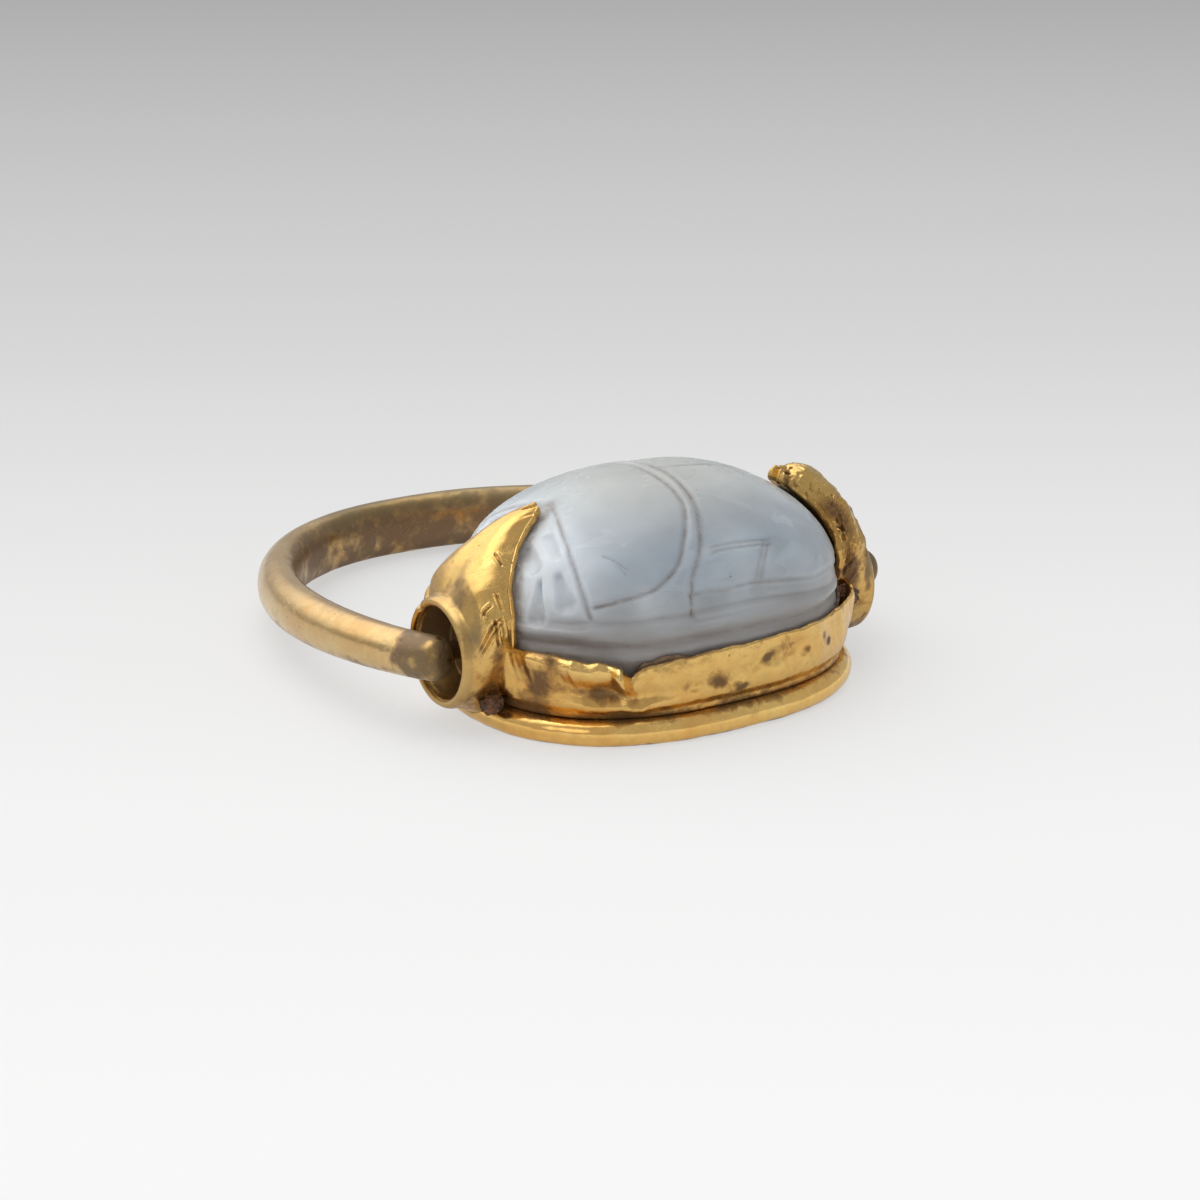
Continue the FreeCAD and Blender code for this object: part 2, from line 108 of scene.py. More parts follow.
class SettingSettings(bpy.types.PropertyGroup):
    rim_radius: length("Rim wire radius", "Thickness of the wire round the foot", 0.53)
    wall_sheet: length("Wall sheet", "Thickness of the sheet wall", 0.24)
    cap_sheet: length("Cap sheet", "Thickness of a cap at the edge of its leaf", 0.25)
    lip: length("Lip", "Thickness of a bell at its mouth", 0.40)
    mouth: length("Mouth radius", "Inside of a bell at its mouth", 1.75)
    grain: length("Grain", "Size of the crumbs on solder and filling", 0.05)
    gold: colour("Sheet gold", "Clean gold of wall, rim and caps", (0.76, 0.505, 0.165))
    # This tone also paints shade inside the bells, on the caps' necks and flanks and in the front wall's
    # hollow
    stain_and_shade_tone: colour("Stain", "Reddish-brown stain in the gold's recesses", (0.115, 0.052, 0.022))


class HoopSettings(bpy.types.PropertyGroup):
    end_radius: length("End radius", "Half thickness of the bar at its ends", 0.89)
    crown_height: length("Crown height", "Half height of the bar at its crown", 1.20)
    crown_thickness: length("Crown thickness", "Half thickness of the bar at its crown", 0.98)
    gold: colour("Hoop gold", "Worn gold of the hoop", (0.65, 0.475, 0.22))
    patina: colour("Patina", "Brown patina on its inside and ends", (0.165, 0.10, 0.062))


class StageSettings(bpy.types.PropertyGroup):
    near: colour("Near floor", "Floor in front of the ring", (0.90, 0.90, 0.90))
    far: colour("Far floor", "Floor behind the ring", (0.39, 0.395, 0.39))
    lamp: FloatProperty(name="Lamp", description="Light of the large lamp overhead", default=0.34,
                        min=0.0, unit="POWER")
    sky: FloatProperty(name="Sky", description="Brightness of the even light all round",
                       default=1.08, min=0.0)
    glow: share("Floor glow", "Share of the floor's tone that shadows don't reach", 0.66)


# Shapes in plain numbers

NOISE_CELLS = 48
# Shortest vector that is still divided by its length
TINY = 1e-9


def smooth_share(low, high, value):
    # 0 under the low value, 1 over the high one, smooth between them.
    part = np.clip((value - low) / (high - low), 0, 1)
    return part * part * (3 - 2 * part)


def plateau(value, rise, fall):
    # 1 between two places, with a smooth rise before it and a smooth fall after it.
    return smooth_share(*rise, value) * (1 - smooth_share(*fall, value))


def hill(value, middle, width):
    return np.exp(-((value - middle) / width) ** 2)


def fade_at_ends(place, reach):
    # 1 along a line, and smoothly down to 0 at its two ends.
    return smooth_share(0, reach, place) * smooth_share(0, reach, 1 - place)


def clipped(**marks):
    return {name: np.clip(mark, 0, 1) for name, mark in marks.items()}


def full_turn(count):
    return 2 * math.pi * np.arange(count) / count


def unit_vectors(vectors):
    return vectors / np.maximum(np.linalg.norm(vectors, axis=-1, keepdims=True), TINY)


def signed_power(value, power):
    return np.sign(value) * np.abs(value) ** power


def soft_noise(points, spacing, seed):
    # Smooth random heights from -1 to 1 with bumps about one spacing wide.
    table = np.random.default_rng(seed).uniform(-1, 1, (NOISE_CELLS,) * 3)
    place = points / spacing
    cell = np.floor(place).astype(int)
    part = place - cell
    part = part * part * (3 - 2 * part)
    total = np.zeros(points.shape[:-1])
    for corner in itertools.product((0, 1), repeat=3):
        weight = np.prod(np.where(corner, part, 1 - part), axis=-1)
        index = (cell + np.array(corner)) % NOISE_CELLS
        total += weight * table[index[..., 0], index[..., 1], index[..., 2]]
    return total


def layered_noise(points, spacing, seed, layers=3):
    total = np.zeros(points.shape[:-1])
    for layer in range(layers):
        total += soft_noise(points, spacing / 2 ** layer, seed + layer) / 2 ** layer
    return total


def smooth_line(points, steps=8):
    # A smooth line through given points.
    points = np.array(points, float)
    ends = (2 * points[0] - points[1], 2 * points[-1] - points[-2])
    padded = np.vstack([ends[0], points, ends[1]])
    line = []
    for index in range(len(points) - 1):
        before, start, end, after = padded[index:index + 4]
        for step in range(steps):
            part = step / steps
            line.append(start + 0.5 * part * (end - before + part * (
                2 * before - 5 * start + 4 * end - after + part * (3 * (start - end) + after - before))))
    line.append(points[-1])
    return np.array(line)


def line_distance(points, line, reach):
    # Distance from every point to a line, and the share of the line that is nearest.
    flat = points.reshape(-1, 3)
    gap = np.full(len(flat), np.inf)
    place = np.zeros(len(flat))
    near = np.all((flat > line.min(0) - reach) & (flat < line.max(0) + reach), axis=1)
    chosen = flat[near]
    best = np.full(len(chosen), np.inf)
    where = np.zeros(len(chosen))
    for index in range(len(line) - 1):
        run = line[index + 1] - line[index]
        along = np.clip(((chosen - line[index]) @ run) / (run @ run), 0, 1)
        distance = np.linalg.norm(chosen - line[index] - along[:, None] * run, axis=1)
        closer = distance < best
        best = np.where(closer, distance, best)
        where = np.where(closer, (index + along) / (len(line) - 1), where)
    gap[near] = best
    place[near] = where
    return gap.reshape(points.shape[:-1]), place.reshape(points.shape[:-1])


def grid_normals(rows, outer_row, wrap_rows=False):
    # Unit normals of a grid whose columns close on themselves. They point away from the
    # middle of the outer row, and so out of the piece everywhere.
    across = np.roll(rows, -1, 1) - np.roll(rows, 1, 1)
    if wrap_rows:
        along = np.roll(rows, -1, 0) - np.roll(rows, 1, 0)
    else:
        along = np.gradient(rows, axis=0)
    normals = unit_vectors(np.cross(across, along))
    away = rows[outer_row] - rows[outer_row].mean(0)
    return normals if np.sum(normals[outer_row] * away) > 0 else -normals


def grid_faces(index, wrap_rows, wrap_columns):
    grid = np.vstack([index, index[:1]]) if wrap_rows else index
    grid = np.hstack([grid, grid[:, :1]]) if wrap_columns else grid
    quads = np.stack([grid[:-1, :-1], grid[1:, :-1], grid[1:, 1:], grid[:-1, 1:]], axis=-1)
    return grid, quads.reshape(-1, 4)


def grid_object(name, rows, wrap_rows=False, wrap_columns=True, poles=(None, None), marks=None):
    # A mesh object from rows of points, closed over its first and last row where it has poles.
    count, width = rows.shape[:2]
    grid, quads = grid_faces(np.arange(count * width).reshape(count, width), wrap_rows, wrap_columns)
    points = rows.reshape(-1, 3)
    faces = [tuple(quad) for quad in quads.tolist()]
    values = {key: mark.reshape(-1) for key, mark in (marks or {}).items()}
    for row, pole in ((0, poles[0]), (-1, poles[1])):
        if pole is None:
            continue
        tip = len(points)
        points = np.vstack([points, pole])
        values = {key: np.append(value, value[grid[row]].mean()) for key, value in values.items()}
        ring = grid[row].tolist()
        for first, second in zip(ring, ring[1:]):
            faces.append((first, second, tip) if row == 0 else (second, first, tip))
    return mesh_object(name, points, faces, values)


def link_object(name, data):
    made = bpy.data.objects.new(name, data)
    bpy.context.scene.collection.objects.link(made)
    return made


def set_marks(mesh, marks):
    # Stores each named value at the mesh's points, where the materials read it.
    for name, values in marks.items():
        layer = mesh.attributes.get(name) or mesh.attributes.new(name, "FLOAT", "POINT")
        layer.data.foreach_set("value", np.asarray(values, np.float32))


def mesh_object(name, points, faces, marks):
    if signed_volume(points, faces) < 0:
        faces = [face[::-1] for face in faces]
    mesh = bpy.data.meshes.new(name)
    mesh.from_pydata((points * MM).tolist(), [], faces)
    set_marks(mesh, marks)
    mesh.shade_smooth()
    return link_object(name, mesh)


def signed_volume(points, faces):
    # Above zero when the faces of a closed mesh point outwards.
    quads = np.array([face if len(face) == 4 else (*face, face[-1]) for face in faces])
    first, second, third, fourth = np.moveaxis(points[quads], 1, 0)
    halves = np.sum(first * np.cross(second, third), 1) + np.sum(first * np.cross(third, fourth), 1)
    return halves.sum()


def finish_piece(piece, material, body, slot, *nodes):
    piece.data.materials.clear()
    piece.data.materials.append(material)
    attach(piece, body)
    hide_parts(*nodes)
    return piece


# Node trees

# Sockets of a Mix node for colours: factor, the two colours and the result
MIX_FACTOR, MIX_FIRST, MIX_SECOND, MIX_RESULT = 0, 6, 7, 2


class Value:
    # A socket that can be reckoned with: each sum adds a Math node to its tree.

    def __init__(self, tree, socket):
        self.tree = tree
        self.socket = socket

    def joined(self, operation, first, second):
        return self.tree.value("ShaderNodeMath", {"operation": operation}, {0: first, 1: second})

    def __add__(self, other):
        return self.joined("ADD", self, other)

    def __radd__(self, other):
        return self.joined("ADD", other, self)

    def __sub__(self, other):
        return self.joined("SUBTRACT", self, other)

    def __rsub__(self, other):
        return self.joined("SUBTRACT", other, self)

    def __mul__(self, other):
        return self.joined("MULTIPLY", self, other)

    def __rmul__(self, other):
        return self.joined("MULTIPLY", other, self)

    def __truediv__(self, other):
        return self.joined("DIVIDE", self, other)

    def __rtruediv__(self, other):
        return self.joined("DIVIDE", other, self)

    def least(self, other):
        return self.joined("MINIMUM", self, other)

    def most(self, other):
        return self.joined("MAXIMUM", self, other)

    def size(self):
        return self.tree.value("ShaderNodeMath", {"operation": "ABSOLUTE"}, {0: self})

    def between(self, low, high):
        # 0 under the low value, 1 over the high one, smooth between them.
        return self.tree.value("ShaderNodeMapRange", {"interpolation_type": "SMOOTHSTEP"},
                               {"Value": self, "From Min": low, "From Max": high})


class Tree:
    # Adds nodes to a shader or geometry tree, with their settings first and then their inputs.

    def __init__(self, nodes):
        self.nodes = nodes

    def node(self, kind, settings=None, inputs=None):
        made = self.nodes.nodes.new(kind)
        for key, setting in (settings or {}).items():
            if key == "stops":
                self.set_stops(made.color_ramp, setting)
            else:
                setattr(made, key, setting)
        for key, given in (inputs or {}).items():
            socket = made.inputs[key]
            if isinstance(given, Value):
                self.nodes.links.new(given.socket, socket)
            else:
                socket.default_value = given
        return made

    def set_stops(self, ramp, stops):
        while len(ramp.elements) < len(stops):
            ramp.elements.new(1.0)
        for element, (place, tone) in zip(ramp.elements, stops):
            element.position = place
            element.color = (*tone, 1.0) if len(tone) == 3 else tone

    def value(self, kind, settings=None, inputs=None, output=0):
        return Value(self, self.node(kind, settings, inputs).outputs[output])

    def mix(self, factor, first, second, blend="MIX"):
        settings = {"data_type": "RGBA", "blend_type": blend}
        inputs = {MIX_FACTOR: factor, MIX_FIRST: tone_of(first), MIX_SECOND: tone_of(second)}
        return self.value("ShaderNodeMix", settings, inputs, MIX_RESULT)

    def place(self, stretch=(1.0, 1.0, 1.0), turn=(0.0, 0.0, 0.0)):
        # The place on the object, turned and then stretched where a pattern needs it.
        object_place = self.value("ShaderNodeTexCoord", output="Object")
        if stretch == (1.0, 1.0, 1.0) and turn == (0.0, 0.0, 0.0):
            return object_place
        turned = self.value("ShaderNodeMapping", None, {"Vector": object_place, "Rotation": turn})
        return self.value("ShaderNodeVectorMath", {"operation": "MULTIPLY"}, {0: turned, 1: stretch})

    def noise(self, place, spacing, detail=4.0, roughness=0.55, warp=0.0):
        inputs = {"Vector": place, "Scale": 1 / (spacing * MM), "Detail": detail,
                  "Roughness": roughness, "Distortion": warp}
        return self.value("ShaderNodeTexNoise", None, inputs)

    def cells(self, place, spacing, feature="F1", output=0):
        return self.value("ShaderNodeTexVoronoi", {"feature": feature},
                          {"Vector": place, "Scale": 1 / (spacing * MM)}, output)

    def mark(self, name):
        return self.value("ShaderNodeAttribute", {"attribute_name": name}, None, "Fac")

    def parts(self, vector):
        # The vector's three numbers.
        made = self.node("ShaderNodeSeparateXYZ", None, {0: vector})
        return [Value(self, socket) for socket in made.outputs]

    def bump(self, height, depth):
        inputs = {"Height": height, "Distance": depth * MM, "Strength": 1.0}
        return self.value("ShaderNodeBump", None, inputs)


def tone_of(given):
    return given if isinstance(given, Value) else (*given, 1.0)


def tinted(tone, shares, lift=0.0):
    # A lighter, darker or warmer shade of a colour.
    return tuple(min(1.0, float(part)) for part in np.multiply(tone, shares) + lift)


def new_material(name):
    material = bpy.data.materials.new(name)
    material.use_nodes = True
    material.node_tree.nodes.clear()
    return material, Tree(material.node_tree)


def close_material(tree, inputs):
    shader = tree.value("ShaderNodeBsdfPrincipled", None, inputs)
    tree.node("ShaderNodeOutputMaterial", None, {"Surface": shader})


# Materials

# Share of its width that is left of a noise stretched into streaks, and the size of scratched patches
STREAK_SHARE, PATCH_SPACINGS = 0.06, 6
# Shares of red, green and blue in gold's warmer clouds, and in the copper brown edge of the stain and
# painted shade
WARM_SHARES, STAIN_AND_SHADE_EDGE_SHARES = (0.90, 0.74, 0.62), (0.62, 0.42, 0.30)
# Dull tone for grime and for painted shade
SHADE_AND_GRIME_TONE = (0.33, 0.235, 0.115)
LEAST_ROUGHNESS = 0.08
# Height of the fine relief, in millimetres
GOLD_RELIEF, CRUMB_RELIEF, STONE_RELIEF = 0.012, 0.045, 0.03
CROWN_SHEEN_TONE, BROW_TONE, BELT_TONE = (0.49, 0.475, 0.42), (0.86, 0.89, 0.92), (0.39, 0.355, 0.325)
DIRT_TONE, SPECK_TONE, CHIP_TONE = (0.19, 0.13, 0.095), (0.16, 0.11, 0.07), (0.86, 0.90, 0.92)


def scratch_lines(tree, turn, spacing, width):
    # Fine straight scratches: the narrow band round the middle of a stretched noise.
    streaks = tree.noise(tree.place((1.0, STREAK_SHARE, 1.0), turn), spacing, detail=2.0)
    patches = tree.noise(tree.place((1.0, 1.0, 1.0), turn), spacing * PATCH_SPACINGS, detail=1.0)
    line = 1 - ((streaks - 0.5).size()).between(0.0, width)
    return line * patches.between(0.48, 0.62)


def gold_material(name, gold, stain_and_shade_tone, dull, roughness, scratches, shade_and_grime=SHADE_AND_GRIME_TONE):
    # Worn gold: clouded tone, brown stain and painted shade in recesses, pits, fine scratches, dull grime
    # and painted shade.
    material, tree = new_material(name)
    place = tree.place()
    recess, worn, faded = (tree.mark(mark) for mark in ("recess", "worn", "faded"))
    cloud = tree.noise(place, 2.6, detail=6.0, roughness=0.6)
    fine = tree.noise(place, 0.28, detail=5.0, roughness=0.65)
    blotch = tree.noise(place, 0.9, detail=7.0, roughness=0.68, warp=0.4)
    pitted = tree.noise(place, 1.7, detail=2.0).between(0.50, 0.62)
    pit = (1 - tree.cells(place, 0.62).between(0.03, 0.10)) * pitted
    scratch = scratch_lines(tree, (0.0, 0.0, 0.6), 0.16, 0.012).most(
        scratch_lines(tree, (0.7, 0.0, -0.9), 0.22, 0.010))
    # The recess mark holds real stain and painted shade; both take the stain tone
    stain_and_shade_mask = ((blotch - 0.5) * 1.3 + recess * 1.15 + (cloud - 0.5) * 0.5).between(0.16, 0.62)
    stain_and_shade_mask = (stain_and_shade_mask + pit * 0.8).least(1.0)
    stain_and_shade_edge = stain_and_shade_mask * (1 - stain_and_shade_mask) * 4
    pale = tinted(gold, 1.08, 0.025)
    tone = tree.mix(cloud.between(0.38, 0.66), tinted(gold, WARM_SHARES), gold)
    tone = tree.mix(worn.least(1.0) * 0.75, tone, pale)
    tone = tree.mix(fine.between(0.42, 0.72) * 0.22, tone, dull)
    tone = tree.mix(stain_and_shade_edge * 0.35, tone, tinted(gold, STAIN_AND_SHADE_EDGE_SHARES))
    tone = tree.mix(stain_and_shade_mask * 0.88, tone, stain_and_shade_tone)
    tone = tree.mix(scratch * 0.35 * scratches, tone, pale)
    # Dull grime, and painted shade on the caps and the hoop
    tone = tree.mix(faded * 0.8, tone, shade_and_grime)
    rough = roughness + (fine - 0.5) * 0.12 + (cloud - 0.5) * 0.12
    rough = (rough + stain_and_shade_mask * 0.22 - worn * 0.04 + faded * 0.10).most(LEAST_ROUGHNESS)
    height = fine * 0.35 + blotch * 0.4 - pit * 0.9 - scratch * 0.30 * scratches
    close_material(tree, {"Base Color": tone, "Roughness": rough, "Metallic": 1 - stain_and_shade_mask * 0.35,
                          "Normal": tree.bump(height, GOLD_RELIEF), "IOR": 1.5})
    return material


def crumb_material(name, light, dark, spacing, metal):
    # Rough solder or earthy filling: grainy, brown and almost without gloss.
    material, tree = new_material(name)
    place = tree.place()
    cloud = tree.noise(place, spacing * 4, detail=5.0, roughness=0.65)
    grain = tree.noise(place, spacing, detail=4.0, roughness=0.7)
    crumbs = tree.cells(place, spacing * 1.3)
    tone = tree.mix(cloud.between(0.35, 0.68), dark, light)
    tone = tree.mix(grain.between(0.55, 0.8) * 0.6, tone, tinted(light, 1.5))
    tone = tree.mix((1 - crumbs.between(0.0, 0.35)) * 0.5, tone, dark)
    close_material(tree, {"Base Color": tone, "Roughness": 0.52 + cloud * 0.3,
                          "Metallic": cloud.between(0.45, 0.6) * metal,
                          "Normal": tree.bump(grain + crumbs * 0.8, CRUMB_RELIEF)})
    return material


def stone_material(stone):
    # Translucent blue-grey chalcedony: milky clouds, brownish bands low down, a painted warm sheen on top,
    # dirt in the cuts, and dirt with painted shade along the caps.
    material, tree = new_material("Chalcedony")
    place = tree.place()
    body, pale, foot = tuple(stone.body), tuple(stone.pale), tuple(stone.foot)
    parts = tree.parts(place)
    along, height = parts[0] / MM, parts[2] / MM
    dirt = tree.mark("dirt")
    clouds = tree.noise(place, 6.5, detail=3.0, roughness=0.5, warp=0.7)
    wisp_place = tree.place((0.55, 1.0, 1.4), (0.3, 0.2, 0.4))
    wisps = tree.noise(wisp_place, 2.8, detail=3.0, roughness=0.5, warp=0.7)
    specks = tree.noise(place, 0.35, detail=3.0, roughness=0.7)
    bands = tree.noise(tree.place((0.10, 0.12, 1.0)), 0.85, detail=6.0, roughness=0.6, warp=0.25)
    broken = tree.noise(place, 0.5, detail=6.0, roughness=0.7).between(0.34, 0.62)
    skin = tree.noise(place, 0.9, detail=5.0, roughness=0.5)
    hairs = scratch_lines(tree, (0.2, 0.3, 1.1), 0.12, 0.010)
    # Parts of the stone: its head half, the head itself, the foot, and the belt over the foot
    front = 1 - along.between(-4.5, 2.5)
    brow = 1 - along.between(-6.6, -3.6)
    low = 1 - (height + (clouds - 0.5) * 1.6 + (bands - 0.5) * 1.2).between(3.1, 5.7)
    belt = 1 - (height + (wisps - 0.5) * 2.0).between(4.2, 6.4)
    tone = tree.mix((clouds.between(0.34, 0.64) * 0.75 + front * 0.45).least(1.0), body, pale)
    tone = tree.mix(wisps.between(0.46, 0.76) * 0.42, tone, tinted(pale, 1.2))
    tone = tree.mix((1 - wisps.between(0.26, 0.46)) * 0.30, tone, tinted(body, 0.82))
    # Painted sheen: a warm pale tone over the top of the back
    tone = tree.mix(height.between(6.8, 8.8) * 0.60, tone, CROWN_SHEEN_TONE)
    tone = tree.mix(brow * (0.48 + wisps.between(0.3, 0.7) * 0.40), tone, BROW_TONE)
    tone = tree.mix(low * (0.45 + bands.between(0.40, 0.62) * 0.5), tone, foot)
    tone = tree.mix(low * bands.between(0.56, 0.70) * 0.45, tone, tinted(pale, 0.8))
    tone = tree.mix(belt * (1 - brow * 0.85) * 0.38, tone, BELT_TONE)
    # The dirt mark also holds painted shade along the caps' edges
    tone = tree.mix(dirt * (broken * 0.60 + 0.22), tone, DIRT_TONE)
    tone = tree.mix(specks.between(0.715, 0.77) * 0.75, tone, SPECK_TONE)
    tone = tree.mix(tree.mark("bright") * 0.6, tone, CHIP_TONE)
    rough = 0.27 + (wisps - 0.5) * 0.10 + dirt * 0.30 + low * 0.08
    normal = tree.bump(skin * 0.7 - hairs * 0.10 + specks * 0.08, STONE_RELIEF)
    close_material(tree, {"Base Color": tone, "Roughness": rough, "Normal": normal, "IOR": 1.54,
                          "Subsurface Weight": 0.85, "Subsurface Radius": (0.85, 1.0, 1.15),
                          "Subsurface Scale": 0.7 * MM, "Subsurface Anisotropy": 0.2,
                          "Specular IOR Level": 0.5})
    return material


# Stone

STONE_POWER = 2.4
STONE_COLUMNS = 560
# Rings of the sealing face, as shares of its outline
BASE_SHARES = (0.14, 0.3, 0.5, 0.7, 0.86, 0.95)
# Height over the sealing face, and how far the side lies in from the widest outline there
SIDE_LEVELS = ((0.0, 1.17), (0.05, 1.08), (0.16, 1.03), (1.1, 0.72), (2.2, 0.33), (3.2, 0.06), (4.2, 0.0))
# How many of these levels lie at the edge of the sealing face, each a row of its own
EDGE_LEVELS = 3
SIDE_ROWS = 46
DOME_ROWS = 112

# Carved lines on one side of the back, in millimetres, mirrored to the other side
PRONOTUM_BACK = (
    (0.33, 0.0, 8.74), (0.41, 1.21, 8.64), (0.29, 2.45, 8.32), (0.01, 3.51, 7.82), (-0.42, 4.41, 7.16),
    (-0.84, 4.93, 6.6), (-1.3, 5.3, 6.01), (-1.53, 5.6, 5.28), (-1.62, 5.75, 4.7))
PRONOTUM_SIDE = (
    (-0.25, 0.0, 8.74), (-0.16, 1.78, 8.52), (-0.23, 2.86, 8.15), (-0.59, 3.7, 7.7), (-1.09, 4.35, 7.18),
    (-1.48, 4.76, 6.74), (-1.87, 5.03, 6.34), (-2.57, 5.17, 5.92), (-3.35, 5.10, 5.62),
    (-4.3, 4.83, 5.45), (-5.0, 4.5, 5.25))
HEAD_BACK = (
    (-4.27, 0.0, 7.91), (-4.5, 0.86, 7.78), (-4.7, 1.33, 7.63), (-5.04, 2.46, 7.14), (-5.26, 3.39, 6.46),
    (-5.3, 4.08, 5.7), (-5.25, 4.49, 4.92))
WING_MARK = ((-0.35, 4.82, 6.77), (0.65, 4.80, 6.78), (1.86, 4.75, 6.7), (2.58, 4.71, 6.59))
WING_NOTCH = ((2.34, 4.68, 6.69), (1.83, 5.17, 6.14), (1.42, 5.52, 5.5))
WING_EDGE = (
    (-1.5, 5.55, 5.5), (-0.17, 5.61, 5.43), (0.6, 5.59, 5.45), (1.37, 5.55, 5.46), (2.95, 5.39, 5.22),
    (4.35, 4.99, 4.97), (5.33, 4.43, 4.94), (6.5, 3.2, 4.88), (7.1, 1.6, 4.86), (7.2, 0.0, 4.85))
LEG_EDGE = (
    (-6.3, 3.6, 4.65), (-4.6, 4.9, 4.7), (-3.0, 5.45, 4.75), (-1.26, 5.74, 4.81), (-0.27, 5.76, 4.85),
    (1.4, 5.72, 4.83), (3.4, 5.41, 4.6), (5.39, 4.49, 4.3), (6.9, 2.4, 4.2))
PLINTH_EDGE = (
    (-7.0, 2.41, 3.8), (-6.12, 3.81, 3.83), (-4.97, 4.74, 3.78), (-3.61, 5.34, 3.74), (-1.28, 5.77, 3.84),
    (1.38, 5.76, 3.84), (3.42, 5.4, 3.72), (5.5, 4.45, 3.66), (7.0, 2.4, 3.62))
SUTURE = ((0.35, 0.0, 8.73), (1.8, 0.0, 8.6), (3.6, 0.0, 8.2), (5.2, 0.0, 7.4), (6.5, 0.0, 6.3))
# Each line: its points, its half width, its share of the groove depth, and the dirt in it
CARVED_LINES = (
    (PRONOTUM_BACK, 0.15, 1.0, 0.95), (PRONOTUM_SIDE, 0.13, 0.8, 0.80), (HEAD_BACK, 0.14, 0.9, 0.70),
    (WING_MARK, 0.11, 0.42, 0.34), (WING_NOTCH, 0.12, 0.5, 0.36), (WING_EDGE, 0.14, 0.9, 0.40),
    (LEG_EDGE, 0.16, 0.75, 0.15), (PLINTH_EDGE, 0.22, 1.3, 0.4), (SUTURE, 0.13, 0.8, 0.4))
# Faint lines that are cut as two beside each other, which fade at their ends
DOUBLE_LINES = (WING_MARK, WING_NOTCH)
DOUBLE_OFFSET, DOUBLE_FADE = 0.10, 0.10
DIRT_LINE_WIDTH = 0.06
# Flaws on the near side: their points, half width and share of the groove depth
FLAWS = ((((-4.2, -3.72, 6.95), (-3.98, -3.97, 6.79), (-3.62, -4.35, 6.5)), 0.03, 0.25),
         (((-3.9, -4.2, 6.62), (-3.72, -4.5, 6.35)), 0.025, 0.2),
         (((-3.45, -5.05, 5.75), (-3.05, -5.2, 5.72)), 0.04, 0.3))
FLAW_DIRT = 0.55
# Gouges on the head, mirrored to the other side: their ends, half width at the start and end, and depth
HEAD_GOUGES = ((((-5.75, 3.05, 6.25), (-5.90, 3.75, 5.40)), 0.22, 0.46, 0.20),
               (((-6.30, 2.55, 6.0), (-6.68, 3.02, 4.80)), 0.10, 0.42, 0.26),
               (((-5.30, 1.5, 7.27), (-5.50, 2.40, 6.80)), 0.30, 0.24, 0.11),
               (((-6.15, 1.1, 6.8), (-6.2, 1.95, 6.4)), 0.45, 0.40, 0.16))
GOUGE_REACH = 0.6
# How far lines are looked for, in half widths, and how often a settled line is smoothed
LINE_REACH, SMOOTHING_ROUNDS = 5, 4
# Depth of the low steps: behind the pronotum, over the head and under the wing edge
WING_STEP, HEAD_STEP, EDGE_STEP = 0.075, 0.07, 0.13
# Dirt and painted shade along the edges of the two caps: its strength, distance from the edge and width
CAP_DIRT_AND_SHADE, CAP_DIRT_AND_SHADE_PLACE, CAP_DIRT_AND_SHADE_WIDTH = 0.85, 0.10, 0.24
# The stone is uneven over this height: large and fine unevenness, in depth and spacing
EVEN_FOOT = 0.6
LARGE_WAVE, FINE_WAVE = (0.05, 4.0), (0.008, 0.9)
# A pale chip on the near side: its place and size
CHIP_PLACE, CHIP_SIZE, CHIP_STRENGTH = (-3.3, -5.1, 5.3), 0.5, 0.5


def stone_sizes(stone):
    # Half length, half width, height and girdle height, in millimetres.
    return [value / MM for value in (stone.half_length, stone.half_width, stone.top, stone.girdle)]


def fuller_oval(around, long, wide, power):
    # An oval that fills its corners a little more than an ellipse.
    return long * signed_power(np.cos(around), 2 / power), wide * signed_power(np.sin(around), 2 / power)


def stone_inset(height):
    heights, insets = zip(*SIDE_LEVELS)
    return np.interp(height, heights, insets)


def stone_rows(stone):
    # The plain stone: flat face, sides and dome, as rows of points from the bottom up.
    long, wide, top, girdle = stone_sizes(stone)
    inset = SIDE_LEVELS[0][1]
    levels = [((long - inset) * part, (wide - inset) * part, 0.0) for part in BASE_SHARES]
    low = [level[0] for level in SIDE_LEVELS[:EDGE_LEVELS]]
    for height in low + list(np.linspace(low[-1], girdle, SIDE_ROWS)[1:]):
        inset = stone_inset(height)
        levels.append((long - inset, wide - inset, height))
    for angle in np.linspace(0, math.pi / 2, DOME_ROWS)[1:-1]:
        part = math.cos(angle)
        levels.append((long * part, wide * part, girdle + (top - girdle) * math.sin(angle)))
    levels = np.array(levels)
    unit_x, unit_y = fuller_oval(full_turn(STONE_COLUMNS), 1, 1, STONE_POWER)
    height = np.repeat(levels[:, 2:], STONE_COLUMNS, 1)
    return np.stack([levels[:, :1] * unit_x, levels[:, 1:2] * unit_y, height], -1)


def settle_line(line, rows):
    # Moves the points of a line onto the nearest points of the stone, and smooths it.
    flat = rows.reshape(-1, 3)
    settled = np.array([flat[np.argmin(np.sum((flat - point) ** 2, 1))] for point in line])
    for _ in range(SMOOTHING_ROUNDS):
        settled[1:-1] = (settled[:-2] + 2 * settled[1:-1] + settled[2:]) / 4
    return settled


def lean(rows, stone):
    # Angle round the swivel axis: 0 on top of the back, 90 at the girdle, in degrees.
    _, wide, top, girdle = stone_sizes(stone)
    return np.degrees(np.arctan2(np.abs(rows[..., 1]) / wide, (rows[..., 2] - girdle) / (top - girdle)))


def behind_line(rows, line, stone):
    # How far each point lies behind a line over the back, towards the tail.
    line = np.array(line)
    return rows[..., 0] - np.interp(lean(rows, stone), lean(line, stone), line[:, 0])


